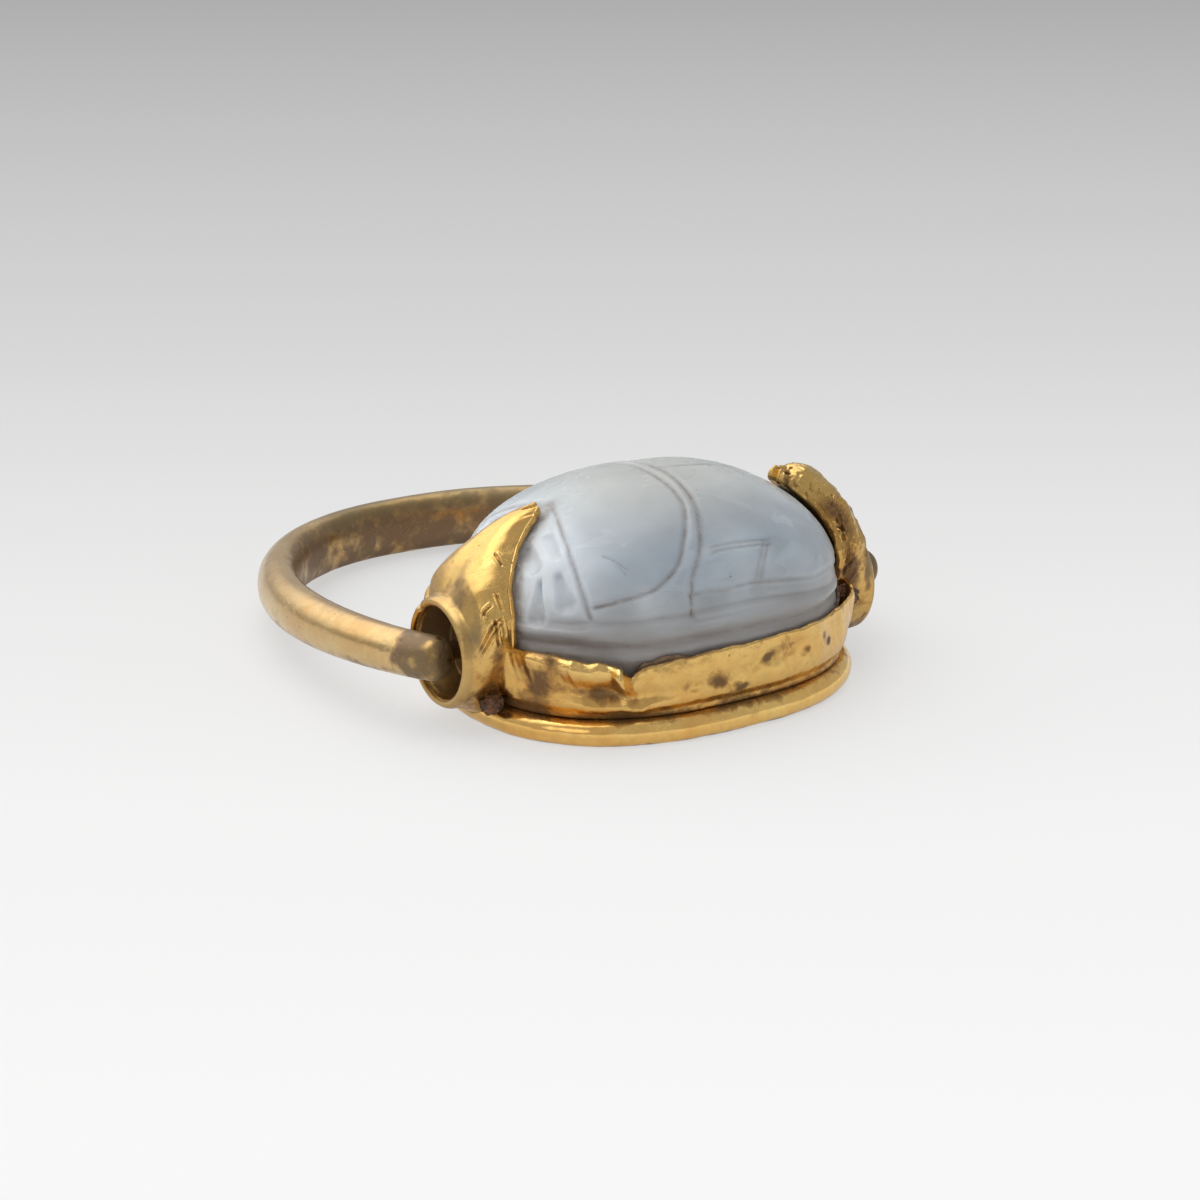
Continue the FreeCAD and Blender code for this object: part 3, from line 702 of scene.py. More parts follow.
def carve_lines(rows, folded, groove):
    # Depth of the carved lines, the flaws and the head's gouges, and the dirt that lies in them.
    depth = np.zeros(rows.shape[:-1])
    dirt = np.zeros(rows.shape[:-1])
    wander = 0.75 + 0.35 * layered_noise(rows, 1.4, 11)
    for points, width, amount, soil in CARVED_LINES:
        gap, place = line_distance(folded, settle_line(smooth_line(points), folded), LINE_REACH * width)
        double = points in DOUBLE_LINES
        fade = fade_at_ends(place, DOUBLE_FADE) if double else 1.0
        lane = DOUBLE_OFFSET if double else 0.0
        depth += amount * groove * wander * fade * hill(gap, lane, width * (1 - 4 * lane))
        line_dirt = 0.7 * hill(gap, lane, DIRT_LINE_WIDTH) + 0.3 * hill(gap, 0, width)
        dirt = np.maximum(dirt, soil * fade * line_dirt)
    for points, width, amount in FLAWS:
        gap, _ = line_distance(rows, settle_line(smooth_line(points), rows), LINE_REACH * width)
        depth += amount * groove * hill(gap, 0, width)
        dirt = np.maximum(dirt, FLAW_DIRT * hill(gap, 0, width))
    for points, start, finish, sink in HEAD_GOUGES:
        gap, place = line_distance(folded, settle_line(smooth_line(points, 12), folded), GOUGE_REACH)
        width = start + (finish - start) * place
        depth += sink * np.maximum(0.0, 1 - (np.minimum(gap, 2 * GOUGE_REACH) / width) ** 2)
    return depth, dirt


def cap_edge_dirt_and_shade(rows):
    # Dirt and painted shade on the stone along the edges of the two caps.
    across, over_axis = np.abs(rows[..., 1]), rows[..., 2] - AXIS_HEIGHT
    dirt = np.zeros(rows.shape[:-1])
    for cap in (HEAD_CAP, TAIL_CAP):
        edge = np.interp(np.degrees(np.arctan2(over_axis, across)), *zip(*cap.leaf))
        gap = np.hypot(over_axis, across) - edge
        soil = CAP_DIRT_AND_SHADE * hill(gap, CAP_DIRT_AND_SHADE_PLACE, CAP_DIRT_AND_SHADE_WIDTH)
        dirt = np.maximum(dirt, soil * (rows[..., 0] * cap.end > 0))
    return dirt


def step_depth(rows, stone):
    # Depth of the low steps between the beetle's parts.
    raised = rows[..., 2] > stone.girdle / MM + 0.2
    past = behind_line(rows, PRONOTUM_BACK, stone)
    head = behind_line(rows, HEAD_BACK, stone)
    edge = np.array(WING_EDGE)
    drop = np.interp(rows[..., 0], edge[:, 0], edge[:, 2]) - rows[..., 2]
    tail_side = smooth_share(-1.6, -0.6, rows[..., 0])
    depth = WING_STEP * plateau(past, (-0.02, 0.22), (0.2, 3.4)) * raised
    depth += HEAD_STEP * (1 - smooth_share(-0.35, 0.02, head)) * raised
    return depth + EDGE_STEP * plateau(drop, (0.0, 0.22), (0.3, 1.0)) * tail_side


def carve_stone(rows, stone):
    # The stone with its carved back, and the dirt on it, with painted shade along the caps' edges.
    folded = rows.copy()
    folded[..., 1] = np.abs(folded[..., 1])
    depth, dirt = carve_lines(rows, folded, stone.groove / MM)
    depth += step_depth(rows, stone)
    over_foot = rows[..., 2] > EVEN_FOOT
    depth += LARGE_WAVE[0] * layered_noise(rows, LARGE_WAVE[1], 3, 2) * over_foot
    depth += FINE_WAVE[0] * layered_noise(rows, FINE_WAVE[1], 7, 3) * over_foot
    carved = rows - grid_normals(rows, len(rows) // 2) * depth[..., None]
    return carved, np.maximum(dirt, cap_edge_dirt_and_shade(rows))


def make_stone(stone):
    rows, dirt = carve_stone(stone_rows(stone), stone)
    rows[..., 2] = np.maximum(rows[..., 2], 0.0)
    bright = CHIP_STRENGTH * hill(np.linalg.norm(rows - np.array(CHIP_PLACE), axis=-1), 0, CHIP_SIZE)
    poles = ((0.0, 0.0, 0.0), (0.0, 0.0, rows[-1, :, 2].mean()))
    piece = grid_object("carved_stone", rows, poles=poles, marks={"dirt": dirt, "bright": bright})
    finish_piece(piece, stone_material(stone), "setting", "stone", "scarab_stone")


# Stone surface that the metal follows


def stone_reach(y, height, stone):
    # How far the plain stone reaches along the axis at a place across and a height.
    long, wide, top, girdle = stone_sizes(stone)
    rise = np.clip((height - girdle) / (top - girdle), 0, 0.999)
    reach = np.sqrt(1 - rise ** 2)
    inset = stone_inset(np.minimum(height, girdle))
    inside = reach ** STONE_POWER - np.abs(y / (wide - inset)) ** STONE_POWER
    return (long - inset) * np.maximum(inside, 1e-4) ** (1 / STONE_POWER)


# End caps

CAP_COLUMNS = 400
# Rows of the outer face, the leaf's edge, the leaf's inside, the bell's floor, its wall and its lip
OUTER_ROWS, EDGE_ROWS, UNDER_ROWS, BOTTOM_ROWS, WALL_ROWS, LIP_ROWS = 76, 6, 30, 6, 16, 10
# Distance of the leaf's edge from the swivel axis, by the angle round it from the side (0) to the
# tip (90) and down to the foot (-90), in degrees and millimetres
HEAD_LEAF = (
    (-90, 2.72), (-67, 2.5), (-56, 2.2), (-30, 1.98), (-12, 1.99), (4, 2.2), (20, 2.44), (37, 2.80),
    (54, 3.12), (66, 3.50), (75, 3.86), (81, 4.27), (84, 4.54), (87, 4.72), (90, 4.76))
TAIL_LEAF = (
    (-90, 2.72), (-67, 2.5), (-56, 2.2), (-30, 1.98), (-12, 1.99), (4, 2.2), (20, 2.40), (37, 2.74),
    (54, 3.02), (66, 3.30), (75, 3.76), (80, 4.06), (83, 4.17), (87, 4.21), (90, 4.21))
# How far a cap stands out, by the angle, and the share of that by the place from lip to edge
HEAD_SWELL = (
    ((-90, 0.0), (-30, 0.03), (0, 0.08), (15, 0.15), (30, 0.26), (45, 0.33), (60, 0.33), (75, 0.25),
     (90, 0.14)),
    ((0, 0), (0.05, 0.25), (0.12, 0.62), (0.20, 0.92), (0.28, 1.0), (0.5, 0.78), (0.8, 0.3), (1, 0)))
TAIL_SWELL = (
    ((-90, 0.0), (-30, 0.0), (0, 0.03), (15, 0.05), (30, 0.12), (45, 0.30), (60, 0.48), (75, 0.58),
     (90, 0.60)),
    ((0, 0.12), (0.05, 0.60), (0.12, 0.90), (0.2, 1.0), (0.45, 1.0), (0.72, 0.60), (0.88, 0.12), (1, 0)))
# Place of the head cap's crease, as a share from lip to edge, by the angle
HEAD_CREASE = (
    (-90, 0.5), (-27, 0.42), (5, 0.46), (18, 0.42), (32, 0.32), (44, 0.25), (62, 0.21), (80, 0.20),
    (90, 0.24))
# How sharp the crease is on the near side, from 0 to 1
CREASE_SHARE = 0.7
# Lines scratched into a cap's near side: two or more places, each an angle and a share from lip to edge
HEAD_SCRATCHES = (
    ((42, 0.28), (46, 0.37), (48, 0.57)), ((76, 0.64), (67, 0.83)),
    ((12, 0.10), (29, 0.35), (36, 0.57), (38, 0.84)), ((8, 0.14), (25, 0.39), (32, 0.61), (35, 0.80)),
    ((39, 0.56), (28, 0.58), (17, 0.62)), ((54, 0.68), (41, 0.79)), ((38, 0.74), (24, 0.80)))
TAIL_SCRATCHES = (
    ((62, 0.72), (53, 0.85), (44, 0.90)), ((60, 0.86), (53, 0.85), (50, 0.72)),
    ((56, 0.94), (48, 0.78)), ((42, 0.70), (30, 0.92)), ((38, 0.66), (26, 0.80)),
    ((34, 0.60), (28, 0.88), (20, 0.92)), ((24, 0.56), (14, 0.80)), ((72, 0.60), (66, 0.80)))
# A scratch: its depth and half width, those of the burr beside it, the burr's place, and its faded ends
SCRATCH_CUT, SCRATCH_BURR, BURR_PLACE, SCRATCH_FADE = (0.075, 0.042), (0.032, 0.045), 0.10, 0.12
SCRATCH_REACH, SCRATCH_DIRT_WIDTH = 0.6, 0.05
# Holes worn through the tail leaf's folded tip: place and width
TIP_HOLES = (
    ((6.2, -0.35, 7.6), 0.10), ((6.45, -0.1, 7.72), 0.09), ((6.6, -0.5, 7.45), 0.08),
    ((6.0, 0.0, 7.7), 0.08))
TIP_HOLE_DEPTH, TIP_ROUGHNESS = 0.20, 0.075
# Bore at the bottom of a bell, the bell's throat, and the sheet between its floor and the stone
HOLE_RADIUS, THROAT_RADIUS, CAP_FLOOR = 0.58, 1.40, 0.33
# The columns crowd towards the tip by this angle, and the rows of the outer face towards the edge
TIP_CROWDING, ROW_CROWDING = 0.72, 0.9
# Columns over which the leaf's outline is smoothed, and to how many on each side that reaches
LEAF_SMOOTHING, LEAF_REACH = 3.0, 9
# Gap between cap and stone, the lowest height at which the cap follows the stone, and the height
# from which it hangs straight down, with the run over which that starts
SEAT_GAP, SEAT_LOWEST, STRAIGHT_TOP, STRAIGHT_RUN = 0.04, 0.3, 2.2, 0.8
# Large and small dents in the gold: their depth and spacing
CAP_DENTS, CAP_HAMMERING = (0.022, 1.9), (0.004, 0.4)


class CapShape(NamedTuple):
    # What differs between the two caps, with lengths in millimetres.
    end: int
    box: tuple
    leaf: tuple
    swell: tuple
    # How far the leaf's edge stands off the stone, and how much thicker the sheet is at the tip
    edge_lift: float
    tip_weight: float
    # Roundness of the bell's lip on the outside, where it is more than half the lip's thickness
    lip_roll: float
    scratches: tuple
    # Share of the dirt, and of the tail tip's painted shade, that darkens the recess mark
    dirt_and_shade_share: float
    seed: int


HEAD_CAP = CapShape(end=-1, box=HEAD_CAP_BOX, leaf=HEAD_LEAF, swell=HEAD_SWELL, edge_lift=0.0,
                    tip_weight=0.25, lip_roll=0.42, scratches=HEAD_SCRATCHES, dirt_and_shade_share=0.30, seed=41)
TAIL_CAP = CapShape(end=1, box=TAIL_CAP_BOX, leaf=TAIL_LEAF, swell=TAIL_SWELL, edge_lift=0.18,
                    tip_weight=0.8, lip_roll=0.0, scratches=TAIL_SCRATCHES, dirt_and_shade_share=0.55, seed=67)


def cap_angles():
    # Angles round the axis, closer together near the tip.
    even = full_turn(CAP_COLUMNS)
    return even - TIP_CROWDING * np.sin(even - math.pi / 2)


def leaf_radius(leaf, folded):
    radius = np.interp(folded, *zip(*leaf))
    kernel = hill(np.arange(-LEAF_REACH, LEAF_REACH + 1), 0, LEAF_SMOOTHING)
    padded = np.concatenate([radius[-LEAF_REACH:], radius, radius[:LEAF_REACH]])
    return np.convolve(padded, kernel / kernel.sum(), "valid")


def tube_ring(x, radius, side, up):
    return np.stack([np.full_like(side, x), radius * side, AXIS_HEIGHT + radius * up], -1)


class CapForm:
    # Works out the rows of points round one cap: the outer face from the lip to the leaf's edge,
    # then the inside back to the lip.

    def __init__(self, shape, setting, stone):
        self.shape, self.stone = shape, stone
        self.mouth = np.abs(shape.box)[:, 0].max()
        self.inner = setting.mouth / MM
        self.lip = (setting.mouth + setting.lip) / MM
        self.roll = (setting.lip / MM) / 2
        self.outer_roll = max(self.roll, shape.lip_roll)
        angles = cap_angles()
        self.side, self.up = np.cos(angles), np.sin(angles)
        self.folded = np.degrees(np.arcsin(np.clip(self.up, -1, 1)))
        self.radius = leaf_radius(shape.leaf, self.folded)
        around = np.stack([self.side, self.up, np.zeros_like(self.up)], -1) * 3
        off_tip = np.abs((angles + math.pi / 2) % (2 * math.pi) - math.pi)
        seed = shape.seed
        upper = smooth_share(-20, 20, self.folded)
        self.ragged = 0.06 * layered_noise(around, 0.9, seed, 4) * upper
        self.ragged += 0.10 * hill(self.folded, 90, 6) * layered_noise(around, 0.10, seed + 5, 2)
        self.ragged -= 0.26 * hill(off_tip, 0, 0.018)
        nick = 0.22 * hill(self.folded, 47, 4) * (self.side > 0)
        self.nick = np.maximum(nick + 0.03 * layered_noise(around, 0.8, seed + 2, 3), 0)
        self.edge_lift = shape.edge_lift * smooth_share(10, 60, self.folded)
        self.sheet = setting.cap_sheet / MM * (1 + shape.tip_weight * hill(self.folded, 90, 7))
        self.normal = self.leaf_normals()
        torn = self.on_stone(self.radius + self.ragged)
        self.under_edge = torn + self.normal * self.edge_lift[:, None]
        self.outer_edge = self.under_edge + self.normal * self.sheet[:, None]

    def on_stone(self, radius):
        # Places on the stone's end at a distance from the swivel axis, a little clear of it.
        y, z = radius * self.side, AXIS_HEIGHT + radius * self.up
        x = np.maximum(stone_reach(y, np.maximum(z, SEAT_LOWEST), self.stone) + SEAT_GAP, 0.0)
        below = np.clip((STRAIGHT_TOP - z) / STRAIGHT_RUN, 0, 1)
        x = np.maximum(x, (self.stone.half_length / MM + SEAT_GAP) * below)
        return np.stack([self.shape.end * x, y, z], -1)

    def leaf_normals(self):
        # Outward directions at the leaf's edge, along the axis where it hangs straight down.
        end = self.shape.end
        seat = self.on_stone(self.radius)
        tangent = np.roll(seat, -2, 0) - np.roll(seat, 2, 0)
        slope = self.on_stone(self.radius * 1.01) - self.on_stone(self.radius * 0.99)
        normal = unit_vectors(np.cross(tangent, slope))
        normal *= np.where(normal[:, :1] * end < 0, -1, 1)
        level = smooth_share(-25, 5, self.folded)[:, None]
        return unit_vectors(normal * level + np.array((end, 0.0, 0.0)) * (1 - level))

    def tube(self, x, radius):
        return tube_ring(self.shape.end * x, radius, self.side, self.up)

    def puff(self, along):
        # How far the outer face stands out, with the head cap's crease on its near side.
        fullness = np.interp(self.folded, *zip(*self.shape.swell[0]))
        puff = fullness * np.interp(along, *zip(*self.shape.swell[1]))
        if self.shape.end > 0:
            return puff
        crease = np.interp(self.folded, *zip(*HEAD_CREASE))
        rising = (along / crease) ** 1.2
        falling = 1 - (np.maximum(along - crease, 0) / (1 - crease)) ** 1.25
        near = CREASE_SHARE * smooth_share(-0.1, 0.5, -self.side)
        return puff + near * (fullness * np.where(along < crease, rising, falling) - puff)

    def outer_face(self):
        mouth_ring = self.tube(self.mouth - self.outer_roll, self.lip)
        mouth_ring[:, 0] -= self.shape.end * self.nick
        blade_edge = self.on_stone(self.radius) + self.normal * (self.edge_lift + self.sheet)[:, None]
        power = 1.35 + 0.55 * smooth_share(20, 80, self.folded)
        rows = []
        for along in np.linspace(0, 1, OUTER_ROWS) ** ROW_CROWDING:
            low_rise = along ** 1.7
            rise = low_rise + (1 - (1 - along) ** power - low_rise) * smooth_share(-15, 25, self.folded)
            shares = np.stack([np.full_like(rise, along), rise, rise], -1)
            ring = mouth_ring + (blade_edge - mouth_ring) * shares
            ring += (self.outer_edge - blade_edge) * smooth_share(0.84, 1.0, along)
            puff = self.puff(along)
            ring[:, 1] += puff * self.side
            ring[:, 2] += puff * self.up
            rows.append(ring)
        return rows

    def leaf_edge(self):
        middle = (self.outer_edge + self.under_edge) / 2
        across = (self.outer_edge - self.under_edge) / 2
        outward = np.stack([np.zeros_like(self.side), self.side, self.up], -1) * (self.sheet / 2)[:, None]
        angles = [math.pi * step / EDGE_ROWS for step in range(1, EDGE_ROWS)]
        return [middle + across * math.cos(angle) + outward * (0.8 * math.sin(angle)) for angle in angles]

    def leaf_inside(self):
        rows = []
        for part in np.linspace(1, 0, UNDER_ROWS) ** 0.8:
            distance = HOLE_RADIUS + (self.radius + self.ragged * part ** 8 - HOLE_RADIUS) * part
            rows.append(self.on_stone(distance) + self.normal * (self.edge_lift * part ** 3)[:, None])
        return rows

    def bell_inside(self):
        seat = self.stone.half_length / MM + 0.06
        floor = seat + CAP_FLOOR - 0.06
        rows = [self.tube(seat + (floor - seat) * along, HOLE_RADIUS) for along in (0.35, 0.7)]
        for part in np.linspace(0, 1, BOTTOM_ROWS):
            radius = HOLE_RADIUS + (THROAT_RADIUS - HOLE_RADIUS) * part
            rows.append(self.tube(floor + 0.03 * math.sin(math.pi * part), radius))
        for part in np.linspace(0, 1, WALL_ROWS)[1:-1]:
            radius = THROAT_RADIUS + (self.inner - THROAT_RADIUS) * part ** 1.3
            rows.append(self.tube(floor + (self.mouth - self.roll - floor) * part, radius))
        return rows

    def bell_lip(self):
        middle, half = (self.lip + self.inner) / 2, (self.lip - self.inner) / 2
        rows = []
        for step in range(LIP_ROWS):
            angle = math.pi * step / LIP_ROWS
            set_back = self.roll if angle < math.pi / 2 else self.outer_roll
            x = self.mouth - set_back * (1 - math.sin(angle))
            ring = self.tube(x, middle - half * math.cos(angle))
            ring[:, 0] -= self.shape.end * self.nick * math.sin(angle / 2) ** 2
            rows.append(ring)
        return rows

    def rows(self):
        return np.array(self.outer_face() + self.leaf_edge() + self.leaf_inside() + self.bell_inside()
                        + self.bell_lip())


def cap_marks(rows, seed):
    # Darker near the seat, at the foot and at middle heights, painted shade (some of it dull) in the bell,
    # on the neck and on the near flank, wear along the ridge and the lip, and dull grime on the lip.
    count = len(rows)
    row = np.arange(count)[:, None]
    height = rows[..., 2]
    noise = layered_noise(rows, 0.8, seed)
    outer = row < OUTER_ROWS + 1
    inside = row > OUTER_ROWS + EDGE_ROWS + 2
    deep = row > OUTER_ROWS + EDGE_ROWS + UNDER_ROWS
    lip = row > count - LIP_ROWS - 2
    low_inside = 1 - smooth_share(1.4, 3.0, height)
    # Darker inside the leaf; painted shade deep in the bell, lighter low down
    recess = np.where(inside, 0.60, 0.03) + 0.12 * noise
    recess = np.where(deep, 0.80 - 0.45 * low_inside + 0.1 * noise, recess)
    recess = np.where(lip, 0.10 + 0.12 * noise, recess)
    foot = 1 - smooth_share(0.9, 1.9, height)
    # Painted shade on the neck and on the near flank
    painted_neck_shade = hill(row, 7, 9) * smooth_share(2.2, 3.6, height)
    under = plateau(height, (0.8, 1.6), (2.4, 3.4))
    painted_flank_shade = hill(row / OUTER_ROWS, 0.60, 0.22) * hill(height, 3.2, 0.8) * (rows[..., 1] < 0)
    recess = recess + (0.26 * foot + 0.17 * under + 0.34 * painted_flank_shade) * outer + (0.20 + 0.25 * noise) * painted_neck_shade
    worn = np.where(outer, 0.5 + 0.3 * noise, 0.0) + np.where(lip, 0.5, 0.0)
    # Dull painted shade on the neck and deep in the bell, dull grime on the lip
    painted_dull_neck_shade = (1 - smooth_share(10, 17, row)) * smooth_share(2.6, 4.0, height)
    faded = painted_dull_neck_shade * (0.55 + 0.45 * noise) * outer + 0.12 * lip + 0.45 * deep
    return clipped(recess=recess, worn=worn, faded=faded)


def engrave(rows, scratches):
    # Old scratches with a small burr beside them, on the side that is seen first.
    angles = cap_angles()
    depth = np.zeros(rows.shape[:-1])
    dirt = np.zeros(rows.shape[:-1])
    for scratch in scratches:
        places = []
        for degree, along in scratch:
            column = int(np.argmin(np.abs(angles - (math.pi - math.radians(degree)))))
            places.append(rows[int(along ** (1 / ROW_CROWDING) * (OUTER_ROWS - 1)), column])
        gap, place = line_distance(rows, smooth_line(places, 6), SCRATCH_REACH)
        fade = fade_at_ends(place, SCRATCH_FADE)
        cut = SCRATCH_CUT[0] * hill(gap, 0, SCRATCH_CUT[1])
        depth += fade * (cut - SCRATCH_BURR[0] * hill(gap, BURR_PLACE, SCRATCH_BURR[1]))
        dirt = np.maximum(dirt, fade * hill(gap, 0, SCRATCH_DIRT_WIDTH))
    return depth, dirt


def worn_tip(rows, outer, off_lip, seed):
    # The tail leaf's crumpled upper part, with holes at its tip: how far it stands out, and its dirt, with
    # painted shade over the leaf's middle.
    height = rows[..., 2]
    rugged = TIP_ROUGHNESS * layered_noise(rows, 0.6, seed, 4) * off_lip
    holes = np.zeros(rows.shape[:-1])
    for place, width in TIP_HOLES:
        holes += hill(np.linalg.norm(rows - np.array(place), axis=-1), 0, width)
    # Painted shade over the middle of the leaf's outer face
    shaded = hill(np.arange(len(rows))[:, None] / OUTER_ROWS, 0.70, 0.30) * outer
    dirt = np.maximum(np.clip(holes * 1.3, 0, 1), np.clip(-16 * rugged - 0.25, 0, 1))
    dirt = np.maximum(dirt, 0.80 * shaded * plateau(height, (2.6, 4.0), (6.1, 6.9)))
    return rugged * smooth_share(2.2, 4.2, height) - TIP_HOLE_DEPTH * holes * outer, dirt


def make_cap(name, node, shape, material, setting, stone):
    form = CapForm(shape, setting, stone)
    rows = form.rows()
    outer = (np.arange(len(rows)) < OUTER_ROWS + EDGE_ROWS)[:, None]
    off_lip = outer * smooth_share(0.0, 0.5, form.mouth - np.abs(rows[..., 0]))
    dents = CAP_DENTS[0] * layered_noise(rows, CAP_DENTS[1], shape.seed + 20, 2)
    change = (dents + CAP_HAMMERING[0] * layered_noise(rows, CAP_HAMMERING[1], shape.seed + 24)) * off_lip
    cut, dirt = engrave(rows, shape.scratches)
    if shape.end > 0:
        damage, damage_dirt_and_shade = worn_tip(rows, outer, off_lip, shape.seed + 50)
        change = change + damage
        dirt = np.maximum(dirt, damage_dirt_and_shade)
    rows = rows + grid_normals(rows, OUTER_ROWS // 2, True) * (change - cut)[..., None]
    marks = cap_marks(rows, shape.seed + 30)
    # The tail's painted shade goes into the recess mark with the dirt
    marks["recess"] = np.clip(marks["recess"] + shape.dirt_and_shade_share * dirt, 0, 1)
    piece = grid_object(name, rows, wrap_rows=True, marks=marks)
    finish_piece(piece, material, "setting", "sheet_gold", node)


def make_caps(setting, stone):
    stain_and_shade_tone = tuple(setting.stain_and_shade_tone)
    head = gold_material("Cap gold", tuple(setting.gold), stain_and_shade_tone, dull=(0.36, 0.24, 0.10), roughness=0.26,
                         scratches=1.0)
    # A darker copy of the cap gold: painted shade on the tail cap
    shaded_tail_gold = gold_material("Tail cap gold", (0.66, 0.44, 0.145), stain_and_shade_tone, dull=(0.24, 0.15, 0.06),
                         roughness=0.22, scratches=1.0)
    make_cap("head_cap", "head_end_cap", HEAD_CAP, head, setting, stone)
    make_cap("tail_cap", "tail_end_cap", TAIL_CAP, shaded_tail_gold, setting, stone)


# Bezel walls and filling

RIM_POWER = 2.4
RIM_HALF_LENGTH, RIM_HALF_WIDTH = 8.00, 6.42
# The rim sits a little turned and off the middle
RIM_TURN = math.radians(3.5)
RIM_SHIFT = np.array((0.20, 0.10, 0.0))
# The rim's gold is brighter than the sheet by this share
RIM_POLISH = 1.25
WALL_FOOT = 1.03
WALL_GAP = 0.15
# Height up to which the wall's inner edge follows the stone
FOLLOW_HEIGHT = 3.2
# Angle that the wall leaves free at each end of the axis, and the filling at the head and the tail
WALL_END, FILLING_HEAD, FILLING_TAIL = 0.15, 0.30, 0.26
WALL_COLUMNS, FILLING_COLUMNS = 420, 300
# Points of a wall's section: up the outer face, over the edge and down the inner face
FACE_POINTS, EDGE_POINTS, BACK_POINTS = 34, 7, 12
# Points of a filling's section between the wall's foot and its edge, and down along the stone
FILLING_OUTSIDE, FILLING_INSIDE = 9, 12
FILLING_FOOT_LEVELS = (0.22, 0.6, 0.95)
# Crumbs to a square metre
FILLING_GRAINS = 9.0e6
# Height of each wall's edge, by the place along the axis
FRONT_EDGE = (
    (-7.6, 3.30), (-7.2, 3.38), (-6.7, 3.40), (-6.2, 3.36), (-5.7, 3.14), (-5.34, 3.05), (-5.06, 3.16),
    (-4.75, 3.04), (-4.45, 2.88), (-4.2, 2.64), (-4.0, 2.52), (-3.88, 2.72), (-3.6, 2.95), (-2.57, 3.08),
    (-1.37, 3.18), (0.0, 3.22), (1.28, 3.24), (3.27, 3.30), (5.2, 3.24), (6.1, 3.30), (6.6, 3.42),
    (7.0, 3.58), (7.6, 3.62))
BACK_EDGE = (
    (-7.6, 3.2), (-6.0, 3.1), (-4.2, 3.22), (-2.0, 3.05), (0.3, 3.18), (2.4, 3.24), (4.4, 3.02),
    (5.6, 3.2), (7.6, 3.15))
# Folds that thicken the front wall's edge: their strength, place and width along the axis
FRONT_FOLDS = ((2.6, -5.9, 1.25), (2.8, -4.36, 0.26))
# Places where the front wall leans outwards: how far, its place and width along the axis, and the
# shares of the height between which it grows
FRONT_FLARES = ((0.24, -5.8, 1.3, 0.66, 1.0), (0.34, -4.36, 0.28, 0.62, 0.95), (0.40, 6.9, 0.7, 0.25, 1.0))
# Dents and bulges of the front wall: how far, its place and width along the axis, and the same two
# as shares of the height
FRONT_DENTS = ((-0.36, -5.0, 1.5, 0.54, 0.20), (0.13, -5.2, 1.9, 0.22, 0.14), (-0.10, 5.1, 0.7, 0.7, 0.3))
# Stains on the front wall: their place, width and strength
WALL_STAINS = (
    ((1.6, -6.0, 2.6), 0.22, 1.0), ((4.35, -5.3, 2.6), 0.34, 0.9), ((5.0, -5.0, 2.35), 0.20, 0.9),
    ((3.6, -5.5, 2.5), 0.30, 0.6), ((0.35, -6.2, 1.75), 0.45, 0.7), ((-0.6, -6.2, 2.0), 0.4, 0.4))


class WallSide(NamedTuple):
    # One side of the bezel: -1 is the near side and 1 the far side.
    name: str
    side: int
    edge: tuple
    wall_seed: int
    filling_seed: int


WALL_SIDES = (WallSide("front", -1, FRONT_EDGE, 83, 103), WallSide("back", 1, BACK_EDGE, 97, 109))


def side_angles(side, head_gap, tail_gap, count):
    # Angles along one side, from which a gap is left at the head and at the tail.
    if side < 0:
        return np.linspace(math.pi + head_gap, 2 * math.pi - tail_gap, count)
    return np.linspace(tail_gap, math.pi - head_gap, count)


def rim_line(around, inset, height):
    x, y = fuller_oval(around, RIM_HALF_LENGTH - inset, RIM_HALF_WIDTH - inset, RIM_POWER)
    turned_x = x * math.cos(RIM_TURN) - y * math.sin(RIM_TURN)
    turned_y = x * math.sin(RIM_TURN) + y * math.cos(RIM_TURN)
    return np.stack([turned_x, turned_y, np.full_like(x, height)], -1) + RIM_SHIFT


def stone_line(around, height, clear, stone):
    # A line round the stone at a height, a little clear of it.
    long, wide, _, _ = stone_sizes(stone)
    inset = stone_inset(height) - clear
    x, y = fuller_oval(around, long - inset, wide - inset, STONE_POWER)
    return np.stack([x, y, height + 0 * around], -1)


def groove_height(along):
    # Height, as a share of the wall's, of the long shallow groove that climbs towards the tail.
    return 0.42 + 0.055 * (along + 3.4)


def wall_shift(straight, level, front, seed):
    # How far the wall leans out of its plain shape: waves everywhere, and the front wall's own dents.
    along = straight[:, 0]
    unrolled = straight * (1, 1, 0) + level[..., None] * (0, 0, 1.3)
    shift = 0.10 * layered_noise(unrolled, 1.9, seed, 2) * (0.2 + 0.8 * np.sin(math.pi * level * 0.75))
    if not front:
        return shift
    for amount, place, width, low, high in FRONT_FLARES:
        shift += amount * hill(along, place, width) * smooth_share(low, high, level)
    for amount, place, width, height, spread in FRONT_DENTS:
        shift += amount * hill(along, place, width) * hill(level, height, spread)
    groove = hill(level, groove_height(along), 0.16) * plateau(along, (-3.9, -2.6), (2.2, 4.4))
    return shift - 0.09 * groove


